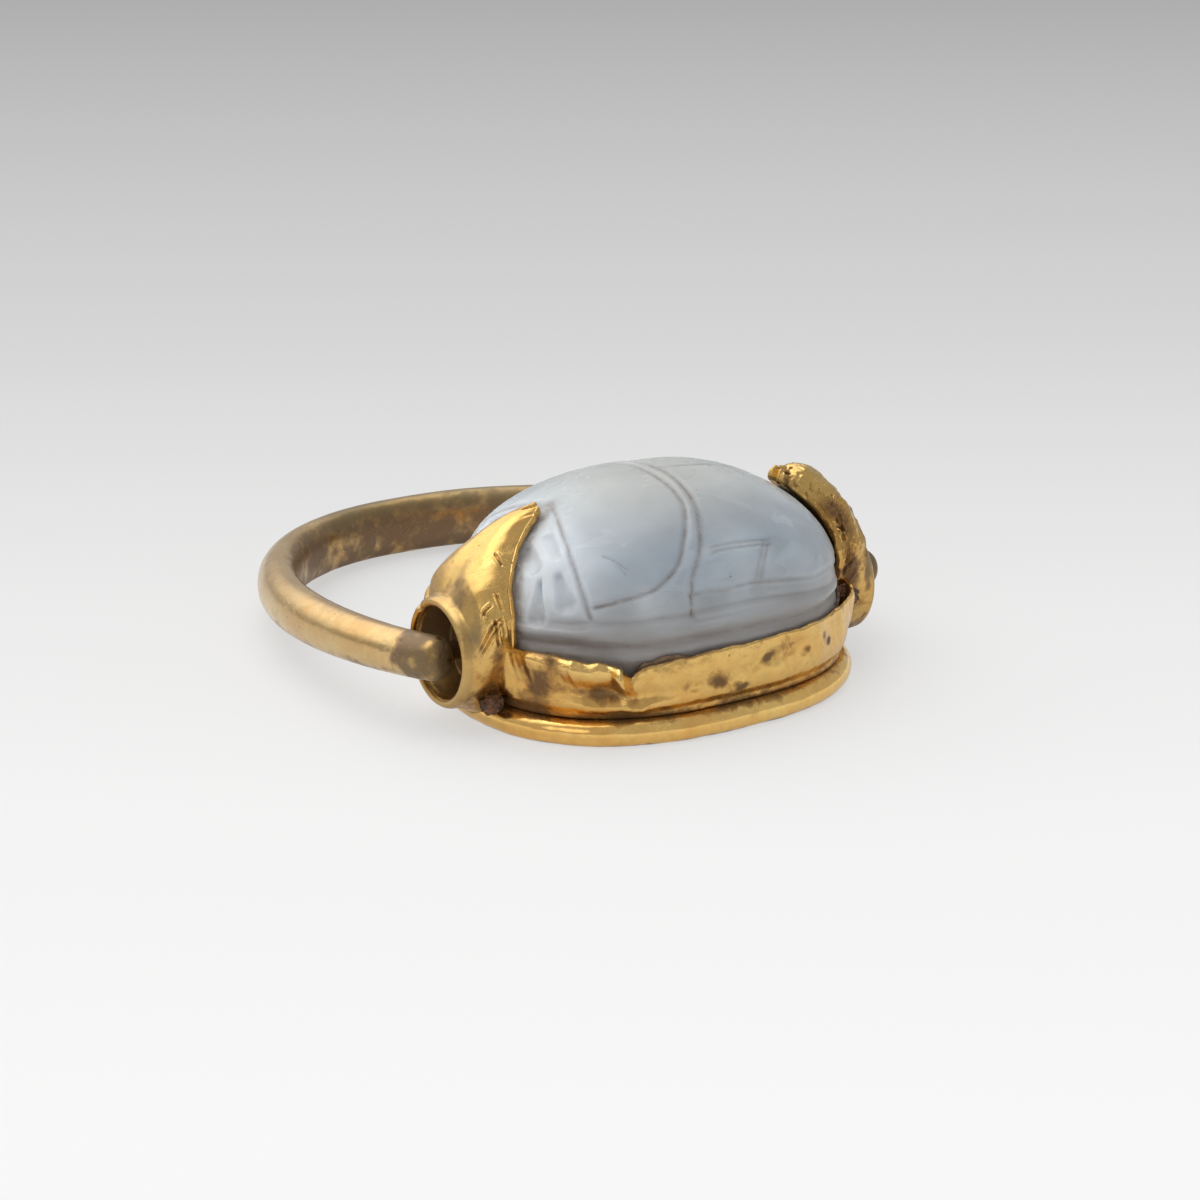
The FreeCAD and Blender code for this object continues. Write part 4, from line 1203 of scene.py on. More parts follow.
def wall_rows(wall, setting, stone):
    # Rows run along the wall; each holds one closed section, from the foot outside up and over.
    seed = wall.wall_seed
    around = side_angles(wall.side, WALL_END, WALL_END, WALL_COLUMNS)
    sheet = setting.wall_sheet / MM
    straight = stone_line(around, np.full_like(around, FOLLOW_HEIGHT), WALL_GAP, stone)
    top_height = np.interp(straight[:, 0], *zip(*wall.edge)) + 0.05 * layered_noise(straight, 0.55, seed, 4)
    foot_out = rim_line(around, setting.rim_radius / MM - 0.06, WALL_FOOT)
    foot_in = rim_line(around, setting.rim_radius / MM + sheet, WALL_FOOT)
    top_in = stone_line(around, np.minimum(top_height, FOLLOW_HEIGHT), WALL_GAP, stone)
    top_in[:, 2] = top_height
    outward = unit_vectors(foot_out - foot_in)
    fold = np.zeros_like(around)
    if wall.side < 0:
        for amount, place, width in FRONT_FOLDS:
            fold += amount * hill(straight[:, 0], place, width)
        fold *= 1 + 0.3 * layered_noise(straight, 0.5, seed + 2, 2)
    thick = sheet * (1 + 0.3 * layered_noise(straight, 0.8, seed + 4, 3)) * (0.75 + 0.8 * fold)
    top_out = top_in + outward * thick[:, None]
    rows = []
    for part in np.linspace(0, 1, FACE_POINTS):
        swell = 0.16 * math.sin(math.pi * part ** 0.8) - 0.10 * hill(part, 0.12, 0.10)
        rows.append(foot_out + (top_out - foot_out) * part + outward * swell)
    middle, across = (top_out + top_in) / 2, (top_out - top_in) / 2
    rise = thick[:, None] / 2 * np.array((0.0, 0.0, 1.0))
    for angle in np.linspace(0, math.pi, EDGE_POINTS + 2)[1:-1]:
        rows.append(middle + across * math.cos(angle) + rise * math.sin(angle))
    for part in np.linspace(1, 0, BACK_POINTS):
        rows.append(foot_in + (top_in - foot_in) * part)
    rows = np.array(rows)
    level = np.concatenate([np.linspace(0, 1, FACE_POINTS), np.ones(EDGE_POINTS),
                            np.linspace(1, 0, BACK_POINTS)])
    shift = wall_shift(straight, level[:, None], wall.side < 0, seed + 8)
    outer = (np.arange(len(rows)) < FACE_POINTS + EDGE_POINTS // 2 + 1)[:, None]
    shift += 0.014 * layered_noise(rows, 0.4, seed + 12) * outer
    rows += outward * shift[..., None]
    return np.transpose(rows, (1, 0, 2))


def wall_marks(rows, seed):
    # Painted shade along the foot and in the front wall's hollow; darker inside, along the torn edge, at
    # the corner by the head cap and in the groove; stain in the spots.
    noise = layered_noise(rows, 1.1, seed)
    along, across, height = (rows[..., axis] for axis in range(3))
    point = np.arange(rows.shape[1])[None, :]
    face = point < FACE_POINTS + 2
    outside = point < FACE_POINTS + EDGE_POINTS // 2 + 1
    inside = point >= FACE_POINTS + EDGE_POINTS
    level = point / (FACE_POINTS - 1)
    # Painted shade along the foot, where the wall meets the rim
    low = 1 - smooth_share(1.05, 1.45, height)
    edge = hill(point, FACE_POINTS + 2, 4.0)
    recess = np.where(inside, 0.7, 0.02) + 0.42 * low + 0.10 * noise + 0.12 * edge * np.maximum(noise, 0)
    for place, width, amount in WALL_STAINS:
        gap = np.linalg.norm((rows - np.array(place)) * (1, 1, 1.4), axis=-1)
        recess = recess + amount * hill(gap, 0, width) * (0.7 + 0.6 * layered_noise(rows, 0.4, seed + 3))
    torn = hill(point, FACE_POINTS + 5, 5.0) * plateau(along, (-4.1, -3.7), (-1.2, 0.4))
    # Painted shade in the hollow under the front wall's fold
    painted_hollow_shade = hill(level, 0.52, 0.17) * hill(along, -5.0, 1.2) * face
    corner = hill(along, -6.9, 0.45) * outside
    groove = hill(level, groove_height(along), 0.13) * face * plateau(along, (-3.9, -2.8), (2.0, 4.0))
    front = 0.55 * torn + 0.48 * painted_hollow_shade + 0.42 * corner + 0.20 * groove
    return clipped(recess=recess + front * (across < 0), worn=0.35 + 0.8 * edge + 0.3 * noise)


def filling_rows(wall, setting, stone):
    # Rows run along the filling; each holds one closed section, from the foot up the wall and down.
    around = side_angles(wall.side, FILLING_HEAD, FILLING_TAIL, FILLING_COLUMNS)
    place = stone_line(around, np.full_like(around, FOLLOW_HEIGHT), WALL_GAP, stone)[:, 0]
    top = np.interp(place, *zip(*wall.edge)) - 0.06
    top += 0.27 * hill(place, -2.8, 1.2) + 0.16 * hill(place, -6.3, 0.7)
    radius, sheet = setting.rim_radius / MM, setting.wall_sheet / MM
    foot = FILLING_FOOT_LEVELS[0]
    levels = [rim_line(around, 2 * radius + 0.03, height) for height in FILLING_FOOT_LEVELS]
    foot_in = rim_line(around, radius + sheet + 0.02, WALL_FOOT)
    top_in = stone_line(around, np.minimum(top, FOLLOW_HEIGHT), WALL_GAP - 0.01, stone)
    top_in[:, 2] = top
    levels += [foot_in + (top_in - foot_in) * part for part in np.linspace(0, 1, FILLING_OUTSIDE)]
    for part in np.linspace(1, 0, FILLING_INSIDE):
        levels.append(stone_line(around, foot + (top - foot) * part, 0.02, stone))
    rows = np.array(levels)
    rough = 0.05 * layered_noise(rows, 0.35, wall.filling_seed, 4)
    edge = len(FILLING_FOOT_LEVELS) + FILLING_OUTSIDE - 1
    rows[edge:edge + 3, :, 2] += 1.4 * rough[edge:edge + 3]
    rows[0:2, :, 2] += 0.6 * rough[0:2]
    return np.transpose(rows, (1, 0, 2))


def end_middles(rows):
    return rows[0].mean(0), rows[-1].mean(0)


def make_walls(setting, stone):
    material = gold_material("Wall gold", tuple(setting.gold), tuple(setting.stain_and_shade_tone),
                             dull=(0.40, 0.26, 0.10), roughness=0.24, scratches=0.8)
    for wall in WALL_SIDES:
        rows = wall_rows(wall, setting, stone)
        marks = wall_marks(rows, wall.wall_seed + 40)
        piece = grid_object("wall_" + wall.name, rows, poles=end_middles(rows), marks=marks)
        finish_piece(piece, material, "setting", "sheet_gold", "bezel_wall_" + wall.name)


def make_fillings(setting, stone):
    material = crumb_material("Brown filling", light=(0.27, 0.175, 0.10), dark=(0.09, 0.055, 0.032),
                              spacing=0.16, metal=0.0)
    for wall in WALL_SIDES:
        rows = filling_rows(wall, setting, stone)
        piece = grid_object("filling_" + wall.name, rows, poles=end_middles(rows))
        add_grains(piece, material, setting.grain, FILLING_GRAINS, wall.filling_seed)
        finish_piece(piece, material, "setting", "bedding", "bedding_" + wall.name)


# Pieces made by Geometry Nodes

# Smallest and largest crumb, as shares of the grain size along its three axes
LEAST_CRUMB, LARGEST_CRUMB = (0.3, 0.3, 0.3), (1.2, 1.0, 0.8)
WIRE_SIDES = 56
RIM_POINTS, PIVOT_POINTS = 240, 160
# How far the rim's line strays, and over which spacing
RIM_STRAY, RIM_STRAY_SPACING = 0.05, 4.0
# Steps along each wire, and the depth and spacing of its dents in millimetres
RIM_STEPS, RIM_DENTS = 720, (0.11, 1.9)
PIVOT_STEPS, PIVOT_DENTS = 240, (0.035, 1.1)
PIVOT_SLACK = 0.02
# Heights in metres between which nothing of a wire is worn flat
UNWORN = (-1.0, 1.0)


def geometry_tree(name, sizes):
    # A geometry tree with a geometry input and output, and one named input for each size.
    group = bpy.data.node_groups.new(name, "GeometryNodeTree")
    group.interface.new_socket("Geometry", in_out="INPUT", socket_type="NodeSocketGeometry")
    for label, kind in sizes:
        group.interface.new_socket(label, in_out="INPUT", socket_type=kind)
    group.interface.new_socket("Geometry", in_out="OUTPUT", socket_type="NodeSocketGeometry")
    tree = Tree(group)
    given = tree.node("NodeGroupInput")
    return group, tree, {socket.name: Value(tree, socket) for socket in given.outputs if socket.name}


def close_geometry(tree, geometry, material):
    joined = tree.value("GeometryNodeRealizeInstances", None, {"Geometry": geometry})
    painted = tree.value("GeometryNodeSetMaterial", None, {"Geometry": joined, "Material": material})
    tree.node("NodeGroupOutput", None, {0: painted})


def apply_tree(piece, group, sizes):
    # Runs the tree on a piece and keeps the result as its plain mesh.
    modifier = piece.modifiers.new(group.name, "NODES")
    modifier.node_group = group
    for item in group.interface.items_tree:
        if item.item_type == "SOCKET" and item.in_out == "INPUT" and item.name in sizes:
            modifier[item.identifier] = sizes[item.name]
    bpy.context.view_layer.update()
    graph = bpy.context.evaluated_depsgraph_get()
    mesh = bpy.data.meshes.new_from_object(piece.evaluated_get(graph))
    piece.modifiers.clear()
    old = piece.data
    piece.data = mesh
    bpy.data.meshes.remove(old)
    return piece


def grain_tree():
    # Crumbs of many sizes, scattered over a piece's surface and joined with it.
    name = "Crumbs on a surface"
    if name in bpy.data.node_groups:
        return bpy.data.node_groups[name]
    group, tree, given = geometry_tree(name, (
        ("Grain size", "NodeSocketFloat"), ("Grains per square metre", "NodeSocketFloat"),
        ("Seed", "NodeSocketInt"), ("Material", "NodeSocketMaterial")))
    spots = tree.node("GeometryNodeDistributePointsOnFaces", None, {
        "Mesh": given["Geometry"], "Density": given["Grains per square metre"], "Seed": given["Seed"]})
    crumb = tree.value("GeometryNodeMeshIcoSphere", None,
                       {"Radius": given["Grain size"], "Subdivisions": 2})
    scale = tree.value("FunctionNodeRandomValue", {"data_type": "FLOAT_VECTOR"},
                       {0: LEAST_CRUMB, 1: LARGEST_CRUMB, "Seed": given["Seed"]})
    crumb = tree.value("GeometryNodeSetShadeSmooth", None, {0: crumb})
    placed = tree.value("GeometryNodeInstanceOnPoints", None, {
        "Points": Value(tree, spots.outputs["Points"]), "Instance": crumb,
        "Rotation": Value(tree, spots.outputs["Rotation"]), "Scale": scale})
    both = tree.node("GeometryNodeJoinGeometry")
    tree.nodes.links.new(placed.socket, both.inputs[0])
    tree.nodes.links.new(given["Geometry"].socket, both.inputs[0])
    close_geometry(tree, Value(tree, both.outputs[0]), given["Material"])
    return group


def add_grains(piece, material, grain, density, seed):
    return apply_tree(piece, grain_tree(), {"Grain size": grain, "Grains per square metre": density,
                                            "Seed": seed, "Material": material})


def wire_tree():
    # A round wire along a line, hammered a little uneven and worn flat where it meets the floor.
    name = "Hammered wire"
    if name in bpy.data.node_groups:
        return bpy.data.node_groups[name]
    group, tree, given = geometry_tree(name, (
        ("Wire radius", "NodeSocketFloat"), ("Steps", "NodeSocketInt"), ("Unevenness", "NodeSocketFloat"),
        ("Dent spacing", "NodeSocketFloat"), ("Lowest", "NodeSocketFloat"), ("Highest", "NodeSocketFloat"),
        ("Material", "NodeSocketMaterial")))
    curve = tree.value("GeometryNodeMeshToCurve", None, {"Mesh": given["Geometry"]})
    even = tree.value("GeometryNodeResampleCurve", None, {"Curve": curve, "Count": given["Steps"]})
    ring = tree.value("GeometryNodeCurvePrimitiveCircle", None,
                      {"Resolution": WIRE_SIDES, "Radius": given["Wire radius"]})
    tube = tree.value("GeometryNodeCurveToMesh", None,
                      {"Curve": even, "Profile Curve": ring, "Fill Caps": True})
    place = tree.value("GeometryNodeInputPosition")
    dents = tree.value("ShaderNodeTexNoise", None,
                       {"Vector": place, "Scale": 1 / given["Dent spacing"], "Detail": 3.0})
    normal = tree.value("GeometryNodeInputNormal")
    shift = tree.value("ShaderNodeVectorMath", {"operation": "SCALE"},
                       {0: normal, "Scale": (dents - 0.5) * given["Unevenness"]})
    moved = tree.value("GeometryNodeSetPosition", None, {"Geometry": tube, "Offset": shift})
    x, y, z = tree.parts(place)
    level = z.most(given["Lowest"]).least(given["Highest"])
    flat = tree.value("ShaderNodeCombineXYZ", None, {0: x, 1: y, 2: level})
    worn = tree.value("GeometryNodeSetPosition", None, {"Geometry": moved, "Position": flat})
    smooth = tree.value("GeometryNodeSetShadeSmooth", None, {0: worn})
    close_geometry(tree, smooth, given["Material"])
    return group


def line_object(name, points, closed):
    count = len(points)
    edges = [(index, (index + 1) % count) for index in range(count if closed else count - 1)]
    mesh = bpy.data.meshes.new(name)
    mesh.from_pydata((points * MM).tolist(), edges, [])
    return link_object(name, mesh)


def make_wire(piece, radius, steps, dents, heights, material):
    # Lays a wire along a piece's line. The heights are where it is worn flat, in metres.
    apply_tree(piece, wire_tree(), {
        "Wire radius": radius, "Steps": steps, "Unevenness": dents[0] * MM, "Dent spacing": dents[1] * MM,
        "Lowest": heights[0], "Highest": heights[1], "Material": material})


def mark_mesh(piece, find):
    # Stores each named value that find gives for the mesh's points.
    points = np.empty(len(piece.data.vertices) * 3)
    piece.data.vertices.foreach_get("co", points)
    set_marks(piece.data, find(points.reshape(-1, 3) / MM))


def rim_marks(places):
    height = places[:, 2]
    # Painted shade along the top, where the wire meets the wall; darker at the bottom
    wall_joint_shade = smooth_share(0.72, 0.98, height)
    under = 1 - smooth_share(0.0, 0.15, height)
    noise = layered_noise(places, 1.0, 77)
    return clipped(recess=0.32 * wall_joint_shade + 0.4 * under + 0.14 * noise, worn=0.45 + 0.4 * noise)


def make_rim(setting):
    radius = setting.rim_radius / MM
    top = RIM_BOX[1][2]
    points = rim_line(full_turn(RIM_POINTS), radius, top - radius)
    stray = [layered_noise(points, RIM_STRAY_SPACING, seed, 2) for seed in (5, 6)]
    points += RIM_STRAY * np.stack(stray + [np.zeros(RIM_POINTS)], -1)
    material = gold_material("Rim gold", tinted(tuple(setting.gold), RIM_POLISH), tuple(setting.stain_and_shade_tone),
                             dull=(0.50, 0.34, 0.14), roughness=0.20, scratches=0.8)
    piece = line_object("rim_wire", points, True)
    make_wire(piece, setting.rim_radius, RIM_STEPS, RIM_DENTS, (0.0, top * MM), material)
    mark_mesh(piece, rim_marks)
    finish_piece(piece, material, "setting", "sheet_gold", "base_rim")


def pivot_marks(places):
    return {"recess": np.full(len(places), 0.35), "worn": np.full(len(places), 0.2)}


def make_pivot():
    material = gold_material("Pivot gold", (0.42, 0.29, 0.13), (0.07, 0.045, 0.025),
                             dull=(0.20, 0.13, 0.07), roughness=0.34, scratches=0.3)
    reach, radius = WIRE_BOX[1][:2]
    along = np.linspace(-reach, reach, PIVOT_POINTS)
    points = np.stack([along, np.zeros(PIVOT_POINTS), np.full(PIVOT_POINTS, AXIS_HEIGHT)], -1)
    piece = line_object("swivel_wire", points, False)
    make_wire(piece, (radius - PIVOT_SLACK) * MM, PIVOT_STEPS, PIVOT_DENTS, UNWORN, material)
    mark_mesh(piece, pivot_marks)
    finish_piece(piece, material, "hoop", "wire_gold", "pivot_wire")


# Solder

SOLDER_ROWS, SOLDER_COLUMNS = 34, 56
SOLDER_NODES = ("head_solder_front", "head_solder_back", "tail_solder_front", "tail_solder_back")
# The lumps at the head are flatter and sit lower, further out and nearer the middle than their nodes
HEAD_LUMP_SHIFT, HEAD_LUMP_HEIGHT, HEAD_LUMP_ACROSS = (-0.38, 0.0, -0.12), 0.8, 0.87
# Their crumbs: the share of the filling's grain size, and how many to a square metre
SOLDER_GRAIN_SHARE, SOLDER_GRAINS = 1.5, 3.0e7
# How far the ends of a lump stand out past their rows
POLE_RISE = (0.0, 0.0, 0.01)


def make_solder(setting):
    material = crumb_material("Brown solder", light=(0.34, 0.17, 0.085), dark=(0.07, 0.034, 0.018),
                              spacing=0.11, metal=0.6)
    slant = np.linspace(0, math.pi, SOLDER_ROWS + 2)[1:-1, None]
    turn = full_turn(SOLDER_COLUMNS)[None, :]
    out = np.sin(slant)
    unit = np.stack([out * np.cos(turn), out * np.sin(turn), np.cos(slant) + 0 * turn], -1)
    for number, node in enumerate(SOLDER_NODES):
        low, high = node_box(node)
        middle, half = (low + high) / 2, (high - low) / 2
        swell = 0.82 + 0.16 * layered_noise(unit, 1.1, 200 + 9 * number, 2)
        swell += 0.10 * layered_noise(unit, 0.22, 230, 2)
        rows = middle + unit * half * np.clip(swell, 0.5, 1.05)[..., None]
        if "head" in node:
            rows[..., 2] = middle[2] + HEAD_LUMP_HEIGHT * (rows[..., 2] - middle[2])
            rows[..., 1] *= HEAD_LUMP_ACROSS
            rows += HEAD_LUMP_SHIFT
        first, last = end_middles(rows)
        poles = (first + POLE_RISE, last - POLE_RISE)
        piece = grid_object("solder_lump_%d" % (number + 1), rows, poles=poles)
        add_grains(piece, material, setting.grain * SOLDER_GRAIN_SHARE, SOLDER_GRAINS, 300 + number)
        finish_piece(piece, material, "setting", "solder", node)


# Hoop

HOOP_POWER = 2.1
# The bar's middle line: its half width, its depth from the widest place to the crown, how far that
# place lies from the swivel axis, and how far the line runs on past the axis
HOOP_HALF_WIDTH, HOOP_DEPTH, HOOP_WIDEST, HOOP_OVERRUN = 10.44, 14.10, 5.28, 0.35
HOOP_ROWS, HOOP_COLUMNS, END_ROWS = 520, 108, 12
# Gap between the crown and the floor
HOOP_FLOOR_GAP = 0.02
# Share of the middle line at which the bar ends at the tail
HOOP_TAIL_END = 0.991
# How far the head end is drawn out, and the rounding of the two ends
END_REACH, HEAD_ROUNDING, TAIL_ROUNDING = 0.24, 0.60, 0.56
# How much the bar's inner side is flatter and squarer at the crown
INNER_FLATNESS, INNER_SQUARENESS = 0.16, 0.22
# Waves and hammering of the bar, as depth and spacing, and how far it stays inside its node
HOOP_WAVES, HOOP_HAMMERING, HOOP_INSET = (0.022, 3.2), (0.003, 0.5), 0.045
# Pits: their depth and spacing, how rare they are, and their share away from the ends
PIT_DEPTH, PIT_SPACING, PIT_RARITY, PIT_SHARE = 0.10, 0.30, 0.62, 0.15
# Dull tone of the painted shade on the far arm and of the grime at the ends
HOOP_SHADE_AND_GRIME = (0.21, 0.155, 0.068)


def hoop_centre(places):
    low = (HOOP_OVERRUN + HOOP_WIDEST) / HOOP_DEPTH
    start = -math.asin(low ** (HOOP_POWER / 2))
    angle = math.pi - start + (2 * start - math.pi) * places
    x, y = fuller_oval(angle, HOOP_HALF_WIDTH, HOOP_DEPTH, HOOP_POWER)
    return np.stack([x, HOOP_WIDEST + y, np.zeros_like(x)], -1)


def rounded_end(index, reach, rounding, radius):
    # Sections of a blunt end, from the bar outwards: each a row, how far it lies out, and its size.
    return [(index, reach + rounding * math.sin(angle), 1 - rounding / radius * (1 - math.cos(angle)))
            for angle in np.linspace(0, math.pi / 2, END_ROWS)[1:]]


def hoop_rows(hoop):
    # Rows of points along the flat hoop, with its rounded ends, and the angles round the bar.
    places = np.linspace(0, HOOP_TAIL_END, HOOP_ROWS)
    centre = hoop_centre(places)
    direction = unit_vectors(np.gradient(centre, axis=0))
    outward = np.stack([-direction[:, 1], direction[:, 0], direction[:, 2]], -1)
    swell = np.sin(math.pi * places)
    end, tall, thick = (value / MM for value in (hoop.end_radius, hoop.crown_height, hoop.crown_thickness))
    half_out = end + (thick - end) * swell
    half_up = end + (tall - end) * swell
    around = full_turn(HOOP_COLUMNS)
    sections = rounded_end(0, END_REACH, HEAD_ROUNDING, end)[::-1]
    sections += [(index, 0.0, 1.0) for index in range(HOOP_ROWS)]
    sections += rounded_end(HOOP_ROWS - 1, 0.0, TAIL_ROUNDING, end)
    rows = []
    for index, reach, scale in sections:
        flat = 1 - INNER_FLATNESS * smooth_share(0.12, 0.5, swell[index])
        power = 1 - INNER_SQUARENESS * smooth_share(0.12, 0.6, swell[index])
        inner = np.cos(around) < 0
        side = np.where(inner, signed_power(np.cos(around), power) * flat, np.cos(around))
        rise = np.where(inner, signed_power(np.sin(around), power), np.sin(around))
        offset = side[:, None] * outward[index] * half_out[index] * scale
        offset[:, 2] += rise * half_up[index] * scale
        slope = -1 if index == 0 else 1
        rows.append(centre[index] + direction[index] * (slope * reach) + offset)
    return np.array(rows), around


def tilt_hoop(points, hoop):
    # Turns the flat hoop about the swivel axis until its crown lies on the floor.
    reach = HOOP_WIDEST + HOOP_DEPTH
    angle = math.asin((hoop.crown_height / MM + HOOP_FLOOR_GAP - AXIS_HEIGHT) / reach)
    y = points[..., 1] * math.cos(angle) - points[..., 2] * math.sin(angle)
    z = points[..., 1] * math.sin(angle) + points[..., 2] * math.cos(angle)
    return np.stack([points[..., 0], y, z + AXIS_HEIGHT], -1)


def dented_hoop(rows, near_end):
    # The bar with its waves, its hammering and its pits, which crowd at the ends.
    dents = HOOP_WAVES[0] * layered_noise(rows, HOOP_WAVES[1], 131, 2)
    dents += HOOP_HAMMERING[0] * layered_noise(rows, HOOP_HAMMERING[1], 137)
    pits = np.minimum(layered_noise(rows, PIT_SPACING, 149, 2) + PIT_RARITY, 0)
    end_pits = 1 - smooth_share(0.0, 0.055, near_end)
    change = dents - HOOP_INSET + PIT_DEPTH * pits * (PIT_SHARE + end_pits)
    return rows + grid_normals(rows, HOOP_ROWS // 2) * change[..., None]


def hoop_marks(rows, around, along, near_end):
    # Patina inside the crown and at the ends, darker on the underside, wear and a painted highlight along
    # the inner ridges, and dull painted shade on the far arm's top, with grime at the very ends.
    noise = layered_noise(rows, 1.5, 151)
    speckle = layered_noise(rows, 0.5, 163, 3)
    crown = smooth_share(0.10, 0.30, near_end)
    inside = smooth_share(-0.05, 0.75, -np.cos(around))[None, :]
    under = smooth_share(0.1, 0.95, -np.sin(around))[None, :]
    tip = 1 - smooth_share(0.008, 0.036, near_end + 0.016 * noise)
    recess = inside * crown * (0.50 + 0.24 * noise) * (1 + 0.35 * speckle)
    recess = np.maximum(recess, (0.20 + 0.16 * noise) * under + 0.07 * speckle)
    recess = np.maximum(recess, tip * (0.52 + 0.44 * speckle))
    # Rubbed wear and a painted highlight along the inner ridges
    ridge_wear_and_highlight = hill(np.abs(np.sin(around)), 0.93, 0.10)[None, :] * (np.cos(around) < 0)[None, :]
    worn = np.clip(0.25 + 0.25 * noise + 0.5 * ridge_wear_and_highlight * crown, 0, 1)
    # Painted shade on the top of the far arm
    painted_far_top_shade = smooth_share(0.24, 0.46, along) * smooth_share(0.2, 0.8, np.sin(around))[None, :]
    faded = 1.1 * painted_far_top_shade * (0.8 + 0.3 * noise) + 0.6 * (1 - smooth_share(0, 0.02, near_end))
    return {**clipped(recess=recess, faded=faded), "worn": worn * (1 - recess) * (1 - 0.7 * painted_far_top_shade)}


def make_hoop(hoop):
    rows, around = hoop_rows(hoop)
    along = np.clip((np.arange(len(rows)) - END_ROWS) / HOOP_ROWS, 0, 1)[:, None]
    near_end = np.minimum(along, 1 - along)
    rows = dented_hoop(rows, near_end)
    marks = hoop_marks(rows, around, along, near_end)
    rows = tilt_hoop(rows, hoop)
    piece = grid_object("hoop_bar", rows, poles=end_middles(rows), marks=marks)
    material = gold_material("Hoop gold", tuple(hoop.gold), tuple(hoop.patina), dull=(0.40, 0.28, 0.13),
                             roughness=0.22, scratches=1.0, shade_and_grime=HOOP_SHADE_AND_GRIME)
    finish_piece(piece, material, "hoop", "hoop_gold", "hoop")


# Stage

CAMERA_AZIMUTH, CAMERA_ELEVATION = math.radians(-31.581), math.radians(18.514)
CAMERA_DISTANCE = 175.2
PIXELS_PER_MM = 25.798
PHOTO_SIZE = 1200
# A place on the object and where it lies in the picture
TARGET = Vector((0.0, 3.504, 2.628))
TARGET_PIXEL = (597.862, 594.779)
SENSOR = 36.0
CLIP_START, CLIP_END = 0.01, 10.0
# Direction of the broad soft light, above the ring and behind it, how narrow it is, and the tones
# round it and in it
SOFT_LIGHT, SOFT_LIGHT_EDGE = (-0.15, 0.55, 0.82), (0.58, 0.90)
SKY_TONE, SOFT_LIGHT_TONE = (0.46, 0.455, 0.45), (1.59, 1.59, 1.59)
# Lamps: place and width in metres, and share of the stage's lamp power
LAMPS = (
    ("overhead_lamp", (-0.06, 0.06, 0.42), 0.46, 1.0), ("front_lamp", (-0.36, -0.20, 0.20), 0.22, 0.30))
LAMP_TARGET = Vector((0, 0.004, 0))
FLOOR_HALF = 1.2
# Painted fall-off of the light: the floor darkens from the near to the far tone over a run along the line
# of sight, in millimetres
FLOOR_NEAR, FLOOR_RUN = -40.0, 180.0
FLOOR_STOPS = ((0.0, 0.02), (0.155, 0.10), (0.28, 0.22), (0.5, 0.52), (1.0, 1.0))
# Strength of the floor's own tone, and its share in reflections
FLOOR_GLOW, MIRRORED_SHARE = 1.03, 0.6


def camera_axes():
    back = Vector((math.sin(CAMERA_AZIMUTH) * math.cos(CAMERA_ELEVATION),
                   -math.cos(CAMERA_AZIMUTH) * math.cos(CAMERA_ELEVATION), math.sin(CAMERA_ELEVATION)))
    right = Vector((math.cos(CAMERA_AZIMUTH), math.sin(CAMERA_AZIMUTH), 0.0))
    return right, back.cross(right), back


def make_camera():
    right, up, back = camera_axes()
    aside, above = ((pixel - PHOTO_SIZE / 2) / PIXELS_PER_MM for pixel in TARGET_PIXEL)
    place = TARGET + back * CAMERA_DISTANCE - right * aside + up * above
    data = bpy.data.cameras.new("photo_camera")
    data.lens = PIXELS_PER_MM * CAMERA_DISTANCE / PHOTO_SIZE * SENSOR
    data.sensor_width = SENSOR
    data.clip_start = CLIP_START
    data.clip_end = CLIP_END
    camera = link_object("photo_camera", data)
    camera.matrix_world = Matrix.Translation(place * MM) @ Matrix((right, up, back)).transposed().to_4x4()
    bpy.context.scene.camera = camera


def make_lamp(name, place, width, power):
    data = bpy.data.lights.new(name, "AREA")
    data.shape = "DISK"
    data.size = width
    data.energy = power
    turn = (LAMP_TARGET - Vector(place)).to_track_quat("-Z", "Y").to_matrix().to_4x4()
    link_object(name, data).matrix_world = Matrix.Translation(place) @ turn


def make_floor(stage):
    corners = [(x * FLOOR_HALF, y * FLOOR_HALF, 0.0) for x, y in ((-1, -1), (1, -1), (1, 1), (-1, 1))]
    mesh = bpy.data.meshes.new("floor")
    mesh.from_pydata(corners, [], [(0, 1, 2, 3)])
    material, tree = new_material("Pale paper floor")
    back = camera_axes()[2]
    ahead = Vector((-back.x, -back.y, 0)).normalized()
    along = tree.value("ShaderNodeVectorMath", {"operation": "DOT_PRODUCT"},
                       {0: tree.place(), 1: tuple(ahead)}, "Value")
    stops = [(place, (tone,) * 3) for place, tone in FLOOR_STOPS]
    # Painted fall-off of the light across the floor
    depth = tree.value("ShaderNodeValToRGB", {"stops": stops}, {0: (along / MM - FLOOR_NEAR) / FLOOR_RUN})
    tone = tree.mix(depth, tuple(stage.near), tuple(stage.far))
    paper = tree.value("ShaderNodeBsdfPrincipled", None,
                       {"Base Color": tone, "Roughness": 0.9, "Specular IOR Level": 0.1})
    glow = tree.value("ShaderNodeEmission", None, {"Color": tone, "Strength": FLOOR_GLOW})
    seen = tree.value("ShaderNodeLightPath", output="Is Camera Ray")
    mirrored = tree.value("ShaderNodeLightPath", output="Is Glossy Ray")
    factor = (seen + mirrored * MIRRORED_SHARE).least(1.0) * stage.glow
    both = tree.value("ShaderNodeMixShader", None, {0: factor, 1: paper, 2: glow})
    tree.node("ShaderNodeOutputMaterial", None, {"Surface": both})
    mesh.materials.append(material)
    link_object("floor", mesh)


